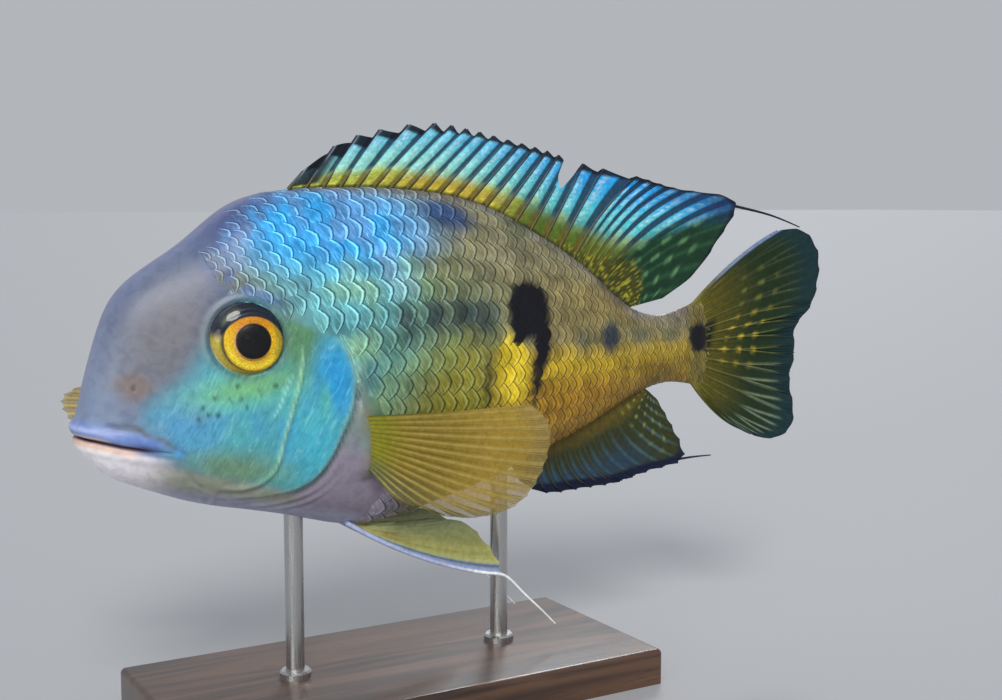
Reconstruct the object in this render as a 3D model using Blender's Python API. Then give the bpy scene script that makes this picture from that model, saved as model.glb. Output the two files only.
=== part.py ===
"""An adult male Nicaragua cichlid as a life-size display model, held over a flat base by two rods.

The fish looks along -X, its left side faces -Y and +Z is up. The origin is the middle of the
underside of the base. Every place on the fish is a fraction of its standard length: x back from
the tip of the snout, y out from the middle plane, z up from the body axis.
"""

import math

import bmesh
import bpy
import numpy as np
from mathutils import Vector

# Driving dimensions, in metres
STANDARD_LENGTH = 0.150
AXIS_HEIGHT = 0.074
CUT = 0.0003
WELD = 0.000001
BASE_LENGTH = 0.110
BASE_WIDTH = 0.050
BASE_THICKNESS = 0.008
BASE_EDGE = 0.0012
ROD_RADIUS = 0.002
ROD_DEPTH_IN_FISH = 0.006
ROD_DEPTH_IN_BASE = 0.005
FIN_ROOT_THICKNESS = 0.0012
FIN_EDGE_THICKNESS = 0.0006
FILAMENT_RADIUS = 0.00045
FILAMENT_TAPER = 0.40

# Places along the fish, as fractions of the standard length
STAND_PLACE = 0.460
ROD_PLACES = {"front": 0.300, "rear": 0.635}

# Cross-sections of the body: distance from the snout, back, belly, half width, height of the widest place
STATIONS = (
    (0.000, -0.058, -0.058, 0.000, -0.058),
    (0.006, -0.041, -0.084, 0.025, -0.062),
    (0.016, -0.002, -0.100, 0.037, -0.065),
    (0.032, 0.055, -0.116, 0.046, -0.068),
    (0.053, 0.106, -0.130, 0.056, -0.075),
    (0.090, 0.142, -0.146, 0.066, -0.084),
    (0.148, 0.180, -0.168, 0.079, -0.072),
    (0.215, 0.230, -0.185, 0.090, -0.046),
    (0.290, 0.250, -0.205, 0.098, -0.025),
    (0.380, 0.256, -0.228, 0.103, -0.010),
    (0.500, 0.251, -0.213, 0.099, 0.005),
    (0.600, 0.232, -0.188, 0.088, 0.010),
    (0.700, 0.187, -0.153, 0.071, 0.010),
    (0.800, 0.126, -0.115, 0.052, 0.004),
    (0.890, 0.062, -0.075, 0.035, -0.004),
    (0.945, 0.054, -0.062, 0.026, -0.003),
    (1.000, 0.070, -0.068, 0.012, 0.000),
)
BODY_RINGS = 40
BODY_SIDES = 34
RING_CROWDING = 1.5

# How square the sections are: an oval is 2. The head is the squarest, the back and the tail narrow to a keel.
HEAD_SQUARENESS = 2.25
BACK_KEEL, BACK_KEEL_START, BACK_KEEL_LENGTH = 0.40, 0.22, 0.20
TAIL_KEEL, TAIL_KEEL_START, TAIL_KEEL_LENGTH = 0.25, 0.60, 0.30

# The lips: how far each stands out, how far from the mouth and how wide its ridge is, and where they fade out
UPPER_LIP_HEIGHT = 0.004
LOWER_LIP_HEIGHT = 0.0025
LIP_PLACE = 0.0117
LIP_WIDTH = 0.0078
MOUTH_END = 0.107
LIP_FADE = 0.015

# The eye: its place, its radius, how far it bulges, and how deep it sits in the head
EYE_PLACE = (0.206, 0.056)
EYE_RADIUS = 0.049
EYE_BULGE = 0.018
EYE_BACK = 0.034
EYE_SUNK = 0.004

# Cuts between the pieces of the body, seen from the side: (x, z)
SHOULDER_CUT = (
    (0.318, 0.300), (0.318, 0.160), (0.330, 0.070), (0.352, 0.042), (0.364, 0.008),
    (0.360, -0.030), (0.346, -0.078), (0.326, -0.122), (0.292, -0.150), (0.262, -0.200), (0.250, -0.260),
)
GILL_CUT = (
    (0.335, 0.070), (0.300, 0.062), (0.281, 0.040), (0.268, -0.006), (0.247, -0.082), (0.232, -0.120),
    (0.205, -0.160), (0.190, -0.220),
)
MOUTH_CUT = (
    (-0.020, -0.067), (0.003, -0.068), (0.018, -0.071), (0.049, -0.079), (0.080, -0.085), (0.116, -0.092),
)
LIP_CUT = (
    (-0.020, -0.045), (0.004, -0.047), (0.041, -0.051), (0.066, -0.057), (0.082, -0.067), (0.114, -0.096),
)
JAW_CUT = ((0.104, -0.0865), (0.112, -0.110), (0.120, -0.140), (0.126, -0.200))
TAIL_CUT = ((0.885, 0.120), (0.878, 0.000), (0.885, -0.140))
CUT_SAMPLES = 18
CUT_REACH = 0.2

# A gill cover is cut down to this distance from the middle plane, and its rear edge starts below its top
GILL_DEPTH = 0.070
GILL_NOTCH = 0.010

# A point near each piece of the cut body, which tells the pieces apart
BODY_PIECES = {
    "head": (0.150, 0.0, 0.180),
    "upper_lip": (0.000, 0.0, -0.056),
    "lower_jaw": (0.030, 0.0, -0.125),
    "gill_cover_left": (0.300, -0.100, -0.040),
    "gill_cover_right": (0.300, 0.100, -0.040),
    "trunk": (0.500, 0.0, 0.251),
    "tail_stalk": (0.945, 0.0, 0.054),
}

# Fin rays as (root, tip) knots. The root of a middle fin is a place along the back or the belly.
DORSAL_RAYS = (
    (0.302, (0.324, 0.277)), (0.340, (0.387, 0.320)), (0.384, (0.446, 0.337)), (0.434, (0.530, 0.347)),
    (0.522, (0.614, 0.334)), (0.573, (0.662, 0.324)), (0.650, (0.730, 0.309)), (0.714, (0.784, 0.294)),
    (0.770, (0.890, 0.274)), (0.808, (0.990, 0.252)), (0.833, (1.090, 0.226)), (0.852, (1.058, 0.178)),
    (0.868, (1.005, 0.118)), (0.880, (0.940, 0.078)),
)
DORSAL_SPINES = 18
DORSAL_LAST_SPINE = 0.770
DORSAL_SCALLOP = 0.030
DORSAL_TEAR = (0.684, 0.716, 0.36)
CAUDAL_BOW = 0.012
ANAL_RAYS = (
    (0.660, (0.674, -0.196)), (0.690, (0.708, -0.216)), (0.735, (0.780, -0.220)), (0.785, (0.865, -0.216)),
    (0.830, (0.935, -0.202)), (0.858, (0.990, -0.186)), (0.878, (0.975, -0.150)), (0.896, (0.950, -0.112)),
    (0.908, (0.932, -0.086)),
)
CAUDAL_RAYS = (
    (0.064, (1.185, 0.186)), (0.056, (1.240, 0.183)), (0.044, (1.272, 0.150)), (0.028, (1.277, 0.095)),
    (0.014, (1.262, 0.050)), (0.003, (1.232, 0.016)), (-0.009, (1.232, -0.030)), (-0.022, (1.222, -0.065)),
    (-0.036, (1.228, -0.115)), (-0.048, (1.224, -0.152)), (-0.056, (1.185, -0.171)),
    (-0.062, (1.110, -0.150)),
)
DORSAL_FILAMENT = ((1.060, 0.232), (1.100, 0.224), (1.165, 0.211), (1.232, 0.190))
ANAL_FILAMENT = ((0.950, -0.192), (0.990, -0.189), (1.046, -0.189))

# Paired fins: the root line on the body, and rays as (place on the root line, reach, rise)
PECTORAL_ROOT = ((0.366, -0.056), (0.374, -0.130))
PECTORAL_RAYS = (
    (0.00, 0.249, 0.002), (0.15, 0.277, -0.014), (0.30, 0.279, -0.040), (0.50, 0.256, -0.078),
    (0.70, 0.201, -0.101), (0.85, 0.125, -0.090), (1.00, 0.046, -0.050),
)
PECTORAL_SWEEP = {"left": math.radians(6), "right": math.radians(157)}
PECTORAL_LENGTH = {"left": 0.99, "right": 1.27}
PECTORAL_SPREAD = {"left": 1.0, "right": 0.5}
PECTORAL_LIFT = {"left": 0.0, "right": 0.08}
PECTORAL_BOW = 0.012
PECTORAL_DROOP = 0.010
PELVIC_ROOT = ((0.374, 0.034), (0.398, 0.022))
PELVIC_STAND_OFF = 0.007
PELVIC_RAYS = (
    (0.00, (0.612, 0.052, -0.322)), (0.30, (0.600, 0.052, -0.290)), (0.55, (0.575, 0.050, -0.258)),
    (0.80, (0.545, 0.046, -0.234)), (1.00, (0.500, 0.040, -0.226)),
)
PELVIC_SAG = -0.014
PELVIC_FILAMENT = (
    (0.585, 0.052, -0.312), (0.612, 0.053, -0.324), (0.650, 0.056, -0.358), (0.700, 0.060, -0.409),
)


def place(x, y, z):
    """A place on the fish in metres, from fractions of its standard length."""
    return Vector((
        (x - STAND_PLACE) * STANDARD_LENGTH,
        y * STANDARD_LENGTH,
        AXIS_HEIGHT + z * STANDARD_LENGTH,
    ))


def spline(knots, values, start_slope=None):
    """The natural cubic curve through the values, or one that leaves its first knot at the given slope."""
    knots = np.asarray(knots, float)
    values = np.asarray(values, float)
    steps = np.diff(knots)
    slopes = np.diff(values) / steps
    count = len(knots)
    matrix = np.eye(count)
    right = np.zeros(count)
    for i in range(1, count - 1):
        matrix[i, i - 1:i + 2] = steps[i - 1], 2 * (steps[i - 1] + steps[i]), steps[i]
        right[i] = 6 * (slopes[i] - slopes[i - 1])
    if start_slope is not None:
        matrix[0, :2] = 2 * steps[0], steps[0]
        right[0] = 6 * (slopes[0] - start_slope)
    bends = np.linalg.solve(matrix, right)

    def value(at):
        i = np.clip(np.searchsorted(knots, at) - 1, 0, count - 2)
        before = at - knots[i]
        after = knots[i + 1] - at
        width = steps[i]
        return (
            (bends[i] * after**3 + bends[i + 1] * before**3) / (6 * width)
            + (values[i] / width - bends[i] * width / 6) * after
            + (values[i + 1] / width - bends[i + 1] * width / 6) * before
        )

    return value


def body_curves():
    """Curves of the body's sections against the distance along it, and that distance's end."""
    table = np.array(STATIONS)
    moves = np.diff(table[:, :3], axis=0)
    steps = np.sqrt(moves[:, 0] ** 2 + (moves[:, 1] ** 2 + moves[:, 2] ** 2) / 2)
    along = np.concatenate([[0.0], np.cumsum(steps)])
    curves = [spline(along, table[:, 0], start_slope=0.0)]
    curves += [spline(along, table[:, column]) for column in range(1, 5)]
    return curves, along[-1]


CURVES, BODY_END = body_curves()


def roundness(x, upper):
    """The exponent of a section's outline: broad on the head, keeled along the back and the tail."""
    if upper:
        return HEAD_SQUARENESS - BACK_KEEL * np.clip((x - BACK_KEEL_START) / BACK_KEEL_LENGTH, 0, 1)
    return HEAD_SQUARENESS - TAIL_KEEL * np.clip((x - TAIL_KEEL_START) / TAIL_KEEL_LENGTH, 0, 1)


def section_point(along, angle):
    """A point of the plain body, without lips: angle 0 is the back, pi/2 the left side, pi the belly."""
    x, back, belly, half_width, widest = [float(curve(along)) for curve in CURVES]
    upper = math.cos(angle) > 0
    power = 2 / roundness(x, upper)
    sine = math.copysign(abs(math.sin(angle)) ** power, math.sin(angle))
    cosine = math.copysign(abs(math.cos(angle)) ** power, math.cos(angle))
    reach = back - widest if upper else widest - belly
    return Vector((x, -half_width * sine, widest + reach * cosine))


def lip_swell(point):
    """How far the lips stand out of the plain body at a point of it."""
    mouth_height = float(np.interp(point.x, *zip(*MOUTH_CUT)))
    offset = point.z - mouth_height
    fade = min(1.0, max(0.0, (MOUTH_END + LIP_FADE - point.x) / (2 * LIP_FADE)))
    upper = UPPER_LIP_HEIGHT * math.exp(-(((offset - LIP_PLACE) / LIP_WIDTH) ** 2))
    lower = LOWER_LIP_HEIGHT * math.exp(-(((offset + LIP_PLACE) / LIP_WIDTH) ** 2))
    return fade * (upper + lower)


def body_surface(along, angle):
    """A point of the body's surface, with the lips."""
    point = section_point(along, angle)
    if point.x > MOUTH_END + LIP_FADE:
        return point
    step = 1e-3
    across = section_point(along, angle + step) - section_point(along, angle - step)
    ahead = section_point(min(along + step, BODY_END), angle) - section_point(max(along - step, 0.0), angle)
    normal = across.cross(ahead)
    if normal.length < 1e-12:
        normal = Vector((-1, 0, 0))
    return point + normal.normalized() * lip_swell(point)


def distance_along(x):
    """The distance along the body at which its section stands at x."""
    places = np.linspace(0, BODY_END, 400)
    return float(np.interp(x, CURVES[0](places), places))


def skin_side(x, z):
    """The half width of the body at a place seen from the side."""
    _, back, belly, half_width, widest = [float(curve(distance_along(x))) for curve in CURVES]
    upper = z > widest
    reach = back - widest if upper else widest - belly
    exponent = roundness(x, upper)
    return half_width * max(0.0, 1 - abs((z - widest) / reach) ** exponent) ** (1 / exponent)


def skin_under(x, y):
    """The height of the underside of the body at a place seen from below."""
    _, _, belly, half_width, widest = [float(curve(distance_along(x))) for curve in CURVES]
    exponent = roundness(x, upper=False)
    return widest - (widest - belly) * max(0.0, 1 - abs(y / half_width) ** exponent) ** (1 / exponent)


def back_height(x):
    return float(CURVES[1](distance_along(x)))


def belly_height(x):
    return float(CURVES[2](distance_along(x)))


def material(name, color, roughness_value, metallic=0.0):
    """A plain material of the piece's main colour."""
    made = bpy.data.materials.new(name)
    made.use_nodes = True
    shader = made.node_tree.nodes["Principled BSDF"]
    shader.inputs["Base Color"].default_value = (*color, 1)
    shader.inputs["Roughness"].default_value = roughness_value
    shader.inputs["Metallic"].default_value = metallic
    return made


def new_object(name, points, faces, finish=None, helper=False):
    """A mesh object from points in metres. A helper is a cutter, which isn't part of the model."""
    mesh = bpy.data.meshes.new(name)
    mesh.from_pydata([tuple(p) for p in points], [], faces)
    shape = bmesh.new()
    shape.from_mesh(mesh)
    bmesh.ops.recalc_face_normals(shape, faces=shape.faces)
    shape.to_mesh(mesh)
    shape.free()
    mesh.shade_smooth()
    mesh.set_sharp_from_angle(angle=math.radians(40))
    made = bpy.data.objects.new(name, mesh)
    bpy.context.scene.collection.objects.link(made)
    if finish:
        mesh.materials.append(finish)
    if helper:
        made.hide_render = True
        made.display_type = "WIRE"
    return made


def boolean(target, cutter, operation="DIFFERENCE"):
    modifier = target.modifiers.new(cutter.name, "BOOLEAN")
    modifier.operation = operation
    modifier.solver = "EXACT"
    modifier.object = cutter


def smooth_path(points, samples):
    """Points of a smooth curve through the given ones."""
    points = np.asarray(points, float)
    steps = np.linalg.norm(np.diff(points, axis=0), axis=1)
    knots = np.concatenate([[0.0], np.cumsum(steps)])
    places = np.linspace(0, knots[-1], samples)
    curves = [spline(knots, points[:, axis])(places) for axis in range(points.shape[1])]
    return np.stack(curves, axis=1)


def prism(name, outline, y_from, y_to):
    """A cutter: an outline seen from the side, as (x, z), carried across from one y to another."""
    count = len(outline)
    points = [place(x, y, z) for y in (y_from, y_to) for x, z in outline]
    walls = [(i, (i + 1) % count, count + (i + 1) % count, count + i) for i in range(count)]
    faces = [tuple(range(count)), tuple(range(count, 2 * count)), *walls]
    return new_object(name, points, faces, helper=True)


def cut_sheet(name, path, y_from=-CUT_REACH, y_to=CUT_REACH):
    """A cutter as thick as a cut, along a curve seen from the side."""
    line = smooth_path(path, CUT_SAMPLES)
    ahead = np.gradient(line, axis=0)
    ahead /= np.linalg.norm(ahead, axis=1)[:, None]
    side = np.stack([-ahead[:, 1], ahead[:, 0]], axis=1) * CUT / 2 / STANDARD_LENGTH
    outline = np.concatenate([line + side, (line - side)[::-1]])
    return prism(name, outline, y_from, y_to)


def eye_direction(side):
    """The way an eye looks, which is straight out of the head at its place."""
    x, z = EYE_PLACE
    step = 0.01
    forward = (skin_side(x + step, z) - skin_side(x - step, z)) / (2 * step)
    upward = (skin_side(x, z + step) - skin_side(x, z - step)) / (2 * step)
    return Vector((-forward, side, -upward)).normalized()


def eyeball(name, side, clearance, finish=None, helper=False):
    """An eyeball turned about the way it looks: a low dome in front of its widest ring, and a bowl behind."""
    x, z = EYE_PLACE
    axis = eye_direction(side)
    centre = Vector((x, side * skin_side(x, z), z)) - axis * EYE_SUNK
    across = axis.cross(Vector((0, 0, 1))).normalized()
    upward = across.cross(axis)
    grow = clearance / STANDARD_LENGTH
    bands, sides = 8, 20
    points = [centre + axis * (EYE_BULGE + grow)]
    for band in range(1, bands):
        angle = math.pi * band / bands
        depth = (EYE_BULGE if angle < math.pi / 2 else EYE_BACK) + grow
        ring = (EYE_RADIUS + grow) * math.sin(angle)
        for k in range(sides):
            turn = 2 * math.pi * k / sides
            around = across * math.cos(turn) + upward * math.sin(turn)
            points.append(centre + axis * (depth * math.cos(angle)) + around * ring)
    points.append(centre - axis * (EYE_BACK + grow))
    last = len(points) - 1
    faces = []
    for k in range(sides):
        after = (k + 1) % sides
        faces.append((0, 1 + k, 1 + after))
        for band in range(bands - 2):
            first = 1 + band * sides
            faces.append((first + k, first + sides + k, first + sides + after, first + after))
        faces.append((last, last - sides + after, last - sides + k))
    return new_object(name, [place(*p) for p in points], faces, finish, helper)


def rod(name, x, bottom, top, radius, finish=None, helper=False):
    """An upright round rod between two heights in metres."""
    sides = 20
    centre = place(x, 0, 0)
    points = []
    for height in (bottom, top):
        for k in range(sides):
            turn = 2 * math.pi * k / sides
            points.append((centre.x + radius * math.cos(turn), radius * math.sin(turn), height))
    walls = [(k, (k + 1) % sides, sides + (k + 1) % sides, sides + k) for k in range(sides)]
    faces = [tuple(range(sides)), tuple(range(sides, 2 * sides)), *walls]
    return new_object(name, points, faces, finish, helper)


def rod_top(x):
    return place(x, 0, belly_height(x)).z + ROD_DEPTH_IN_FISH


def plain_body():
    """The whole body as one closed form, from the snout to the root of the tail fin."""
    points = [place(*body_surface(0.0, 0.0))]
    for ring in range(1, BODY_RINGS + 1):
        along = BODY_END * (ring / BODY_RINGS) ** RING_CROWDING
        for k in range(BODY_SIDES):
            points.append(place(*body_surface(along, 2 * math.pi * k / BODY_SIDES)))
    faces = []
    for k in range(BODY_SIDES):
        after = (k + 1) % BODY_SIDES
        faces.append((0, 1 + k, 1 + after))
        for ring in range(BODY_RINGS - 1):
            first = 1 + ring * BODY_SIDES
            faces.append((first + k, first + BODY_SIDES + k, first + BODY_SIDES + after, first + after))
    faces.append(tuple(range(len(points) - BODY_SIDES, len(points))))
    body = new_object("whole_body", points, faces, helper=True)
    shape = bmesh.new()
    shape.from_mesh(body.data)
    bmesh.ops.triangulate(shape, faces=shape.faces)
    shape.to_mesh(body.data)
    shape.free()
    return body


def islands(shape):
    """The separate bodies of a mesh, each as a list of its faces."""
    left = set(shape.faces)
    found = []
    while left:
        waiting = [left.pop()]
        island = list(waiting)
        while waiting:
            for edge in waiting.pop().edges:
                for face in edge.link_faces:
                    if face in left:
                        left.remove(face)
                        waiting.append(face)
                        island.append(face)
        found.append(island)
    return found


def nearest_island(found, target):
    """The island with the vertex that is nearest to a place."""
    def gap(island):
        return min((vertex.co - target).length for face in island for vertex in face.verts)

    return min(found, key=gap)


def divide_body(body, finishes):
    """Cuts the body apart and gives each piece its own object."""
    depth = GILL_DEPTH
    thin = CUT / 2 / STANDARD_LENGTH
    gill_front = smooth_path(GILL_CUT, CUT_SAMPLES)
    shoulder = smooth_path(SHOULDER_CUT, CUT_SAMPLES)
    gill_rear = shoulder[shoulder[:, 1] < gill_front[0, 1] - GILL_NOTCH]
    gill_outline = np.concatenate([gill_front, gill_rear[::-1]])
    for side_name, side in (("left", -1), ("right", 1)):
        boolean(body, eyeball(f"socket_cutter_{side_name}", side, CUT, helper=True))
        boolean(body, cut_sheet(f"gill_cutter_{side_name}", GILL_CUT, side * depth, side * CUT_REACH))
        inner, outer = side * (depth - thin), side * (depth + thin)
        boolean(body, prism(f"gill_floor_cutter_{side_name}", gill_outline, inner, outer))
    cuts = {"shoulder": SHOULDER_CUT, "tail": TAIL_CUT, "mouth": MOUTH_CUT, "lip": LIP_CUT, "jaw": JAW_CUT}
    for name, path in cuts.items():
        boolean(body, cut_sheet(f"{name}_cutter", path))
    for name, x in ROD_PLACES.items():
        hole = rod(f"rod_hole_cutter_{name}", x, 0.0, rod_top(x) + CUT, ROD_RADIUS + CUT, helper=True)
        boolean(body, hole)

    evaluated = body.evaluated_get(bpy.context.evaluated_depsgraph_get())
    shape = bmesh.new()
    shape.from_mesh(evaluated.to_mesh())
    evaluated.to_mesh_clear()
    bmesh.ops.remove_doubles(shape, verts=shape.verts, dist=WELD)
    found = islands(shape)
    for name, target in BODY_PIECES.items():
        island = nearest_island(found, place(*target))
        found.remove(island)
        corners = {vertex: i for i, vertex in enumerate({v: None for face in island for v in face.verts})}
        faces = [tuple(corners[vertex] for vertex in face.verts) for face in island]
        new_object(name, [vertex.co for vertex in corners], faces, finishes[name])
    shape.free()
    bpy.data.objects.remove(body)


def fin(name, roots, tips, rows, finish, sag=None):
    """A closed sheet with one column for each ray, from its root to its tip, thinner towards the edge.

    roots and tips are places on the fish, and sag is how far each ray bows away from a straight line.
    """
    columns = len(roots)
    grid = np.empty((rows + 1, columns, 3))
    for row in range(rows + 1):
        v = row / rows
        for column in range(columns):
            point = Vector(roots[column]).lerp(Vector(tips[column]), v)
            if sag is not None:
                point = point + Vector(sag[column]) * 4 * v * (1 - v)
            grid[row, column] = place(*point)
    along = np.gradient(grid, axis=1)
    up = np.gradient(grid, axis=0)
    normal = np.cross(along, up)
    normal /= np.linalg.norm(normal, axis=2)[:, :, None]
    thickness = np.linspace(FIN_ROOT_THICKNESS, FIN_EDGE_THICKNESS, rows + 1)[:, None, None]
    front = (grid + normal * thickness / 2).reshape(-1, 3)
    back = (grid - normal * thickness / 2).reshape(-1, 3)
    half = len(front)

    def index(row, column):
        return row * columns + column

    faces = []
    for row in range(rows):
        for column in range(columns - 1):
            quad = (
                index(row, column), index(row, column + 1), index(row + 1, column + 1), index(row + 1, column)
            )
            faces.append(quad)
            faces.append(tuple(half + i for i in reversed(quad)))
    rim = [index(0, column) for column in range(columns)]
    rim += [index(row, columns - 1) for row in range(1, rows + 1)]
    rim += [index(rows, column) for column in range(columns - 2, -1, -1)]
    rim += [index(row, 0) for row in range(rows - 1, 0, -1)]
    for here, after in zip(rim, rim[1:] + rim[:1]):
        faces.append((here, half + here, half + after, after))
    return new_object(name, np.concatenate([front, back]), faces, finish)


def filament(name, path, target):
    """A fin's trailing thread, a tapered round tube joined to the fin."""
    line = smooth_path(path, 7)
    sides = 6
    points = []
    for i, (x, y, z) in enumerate(line):
        radius = FILAMENT_RADIUS * (1 - FILAMENT_TAPER * i / (len(line) - 1))
        ahead = Vector(line[min(i + 1, len(line) - 1)] - line[max(i - 1, 0)]).normalized()
        across = ahead.cross(Vector((0, 1, 0))).normalized()
        upward = across.cross(ahead)
        for k in range(sides):
            turn = 2 * math.pi * k / sides
            points.append(place(x, y, z) + (across * math.cos(turn) + upward * math.sin(turn)) * radius)
    faces = [tuple(range(sides)), tuple(range(len(points) - sides, len(points)))]
    for i in range(len(line) - 1):
        for k in range(sides):
            after = (k + 1) % sides
            faces.append((i * sides + k, i * sides + after, (i + 1) * sides + after, (i + 1) * sides + k))
    boolean(target, new_object(name, points, faces, helper=True), "UNION")


def ray_curves(rays):
    """Curves through the knots of a fin, against a ray's place: 0 at the first knot, 1 at the last."""
    roots = np.array([root for root, _ in rays])
    tips = np.array([tip for _, tip in rays])
    knots = np.concatenate([[0.0], np.cumsum(np.linalg.norm(np.diff(tips, axis=0), axis=1))])
    knots /= knots[-1]
    root_curve = spline(knots, roots)
    tip_curves = [spline(knots, tips[:, axis]) for axis in range(tips.shape[1])]
    return root_curve, tip_curves


def middle_fin(name, rays, columns, rows, root_height, side, finish, edge=None):
    """A fin in the middle plane on the back (side 1) or belly (side -1). edge trims a ray's length."""
    root_curve, tip_curves = ray_curves(rays)
    roots, tips = [], []
    for column in range(columns):
        at = column / (columns - 1)
        x = float(root_curve(at))
        root = Vector((x, 0.0, root_height(x) + side * CUT / STANDARD_LENGTH))
        tip = Vector((float(tip_curves[0](at)), 0.0, float(tip_curves[1](at))))
        if edge:
            tip = root.lerp(tip, edge(x))
        roots.append(root)
        tips.append(tip)
    return fin(name, roots, tips, rows, finish)


def dorsal_edge(x):
    """The dorsal fin's edge: shallow scallops between the spines, and the tear in the spiny part."""
    first = DORSAL_RAYS[0][0]
    start, end, depth = DORSAL_TEAR
    spiny = (x - first) / (DORSAL_LAST_SPINE - first) * DORSAL_SPINES
    trim = DORSAL_SCALLOP * abs(math.sin(math.pi * spiny)) if x < DORSAL_LAST_SPINE else 0.0
    if start < x < end:
        trim += depth * math.sin(math.pi * (x - start) / (end - start)) ** 0.7
    return 1 - trim


def make_middle_fins(finishes):
    dorsal = middle_fin("dorsal_fin", DORSAL_RAYS, 84, 2, back_height, 1, finishes["dorsal_fin"], dorsal_edge)
    filament("dorsal_filament_cutter", [(x, 0, z) for x, z in DORSAL_FILAMENT], dorsal)
    anal = middle_fin("anal_fin", ANAL_RAYS, 26, 2, belly_height, -1, finishes["anal_fin"])
    filament("anal_filament_cutter", [(x, 0, z) for x, z in ANAL_FILAMENT], anal)

    root_curve, tip_curves = ray_curves(CAUDAL_RAYS)
    columns = 34
    roots, tips, sags = [], [], []
    for column in range(columns):
        at = column / (columns - 1)
        roots.append((1.0 + CUT / STANDARD_LENGTH, 0.0, float(root_curve(at))))
        tips.append((float(tip_curves[0](at)), 0.0, float(tip_curves[1](at))))
        sags.append((0.0, 0.0, CAUDAL_BOW * math.cos(math.pi * at)))
    fin("caudal_fin", roots, tips, 3, finishes["caudal_fin"], sags)


def make_pectoral_fin(side_name, side, finish):
    """A pectoral fin, a fan on a slanting root line. The left one trails, the right one is swept forward."""
    table = np.array(PECTORAL_RAYS)
    reach_curve = spline(table[:, 0], table[:, 1])
    rise_curve = spline(table[:, 0], table[:, 2])
    (top_x, top_z), (bottom_x, bottom_z) = PECTORAL_ROOT
    sweep = PECTORAL_SWEEP[side_name]
    direction = Vector((math.cos(sweep), side * math.sin(sweep), 0))
    length = PECTORAL_LENGTH[side_name]
    stand_off = (FIN_ROOT_THICKNESS / 2 + CUT) / STANDARD_LENGTH
    columns = 18
    roots, tips, sags = [], [], []
    for column in range(columns):
        at = column / (columns - 1)
        x = top_x + (bottom_x - top_x) * at
        z = top_z + (bottom_z - top_z) * at
        root = Vector((x, side * (skin_side(x, z) + stand_off), z))
        reach = float(reach_curve(at)) * length
        rise = float(rise_curve(at)) * PECTORAL_SPREAD[side_name] + reach * PECTORAL_LIFT[side_name]
        roots.append(root)
        tips.append(root + direction * reach + Vector((0, 0, rise)))
        sags.append((0.0, side * PECTORAL_BOW, -PECTORAL_DROOP * at))
    fin(f"pectoral_fin_{side_name}", roots, tips, 4, finish, sags)


def make_pelvic_fin(side_name, side, finish):
    """A pelvic fin: its first ray is long, bowed downwards, and ends in a thread."""
    places = np.array([at for at, _ in PELVIC_RAYS])
    tips_table = np.array([tip for _, tip in PELVIC_RAYS])
    tip_curves = [spline(places, tips_table[:, axis]) for axis in range(3)]
    front, rear = Vector(PELVIC_ROOT[0]), Vector(PELVIC_ROOT[1])
    columns = 13
    roots, tips, sags = [], [], []
    for column in range(columns):
        at = column / (columns - 1)
        root = front.lerp(rear, at)
        tip = Vector([float(curve(at)) for curve in tip_curves])
        roots.append((root.x, side * root.y, skin_under(root.x, root.y) - PELVIC_STAND_OFF))
        tips.append((tip.x, side * tip.y, tip.z))
        sags.append((0.0, 0.0, PELVIC_SAG * (1 - at)))
    made = fin(f"pelvic_fin_{side_name}", roots, tips, 4, finish, sags)
    filament(f"pelvic_filament_cutter_{side_name}", [(x, side * y, z) for x, y, z in PELVIC_FILAMENT], made)


def make_stand(base_finish, rod_finish):
    """A flat base with softened edges, and two upright rods set into it and into the belly."""
    shape = bmesh.new()
    bmesh.ops.create_cube(shape, size=1.0)
    bmesh.ops.scale(shape, verts=shape.verts, vec=(BASE_LENGTH, BASE_WIDTH, BASE_THICKNESS))
    bmesh.ops.translate(shape, verts=shape.verts, vec=(0, 0, BASE_THICKNESS / 2))
    upper = [edge for edge in shape.edges if any(v.co.z > BASE_THICKNESS / 2 for v in edge.verts)]
    bmesh.ops.bevel(shape, geom=upper, offset=BASE_EDGE, segments=3, profile=0.5, affect="EDGES")
    mesh = bpy.data.meshes.new("stand_base")
    shape.to_mesh(mesh)
    shape.free()
    mesh.materials.append(base_finish)
    base = bpy.data.objects.new("stand_base", mesh)
    bpy.context.scene.collection.objects.link(base)
    foot = BASE_THICKNESS - ROD_DEPTH_IN_BASE
    for name, x in ROD_PLACES.items():
        bottom, top = foot - CUT, 2 * BASE_THICKNESS
        boolean(base, rod(f"base_hole_cutter_{name}", x, bottom, top, ROD_RADIUS + CUT, helper=True))
        rod(f"stand_rod_{name}", x, foot, rod_top(x), ROD_RADIUS, rod_finish)


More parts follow.
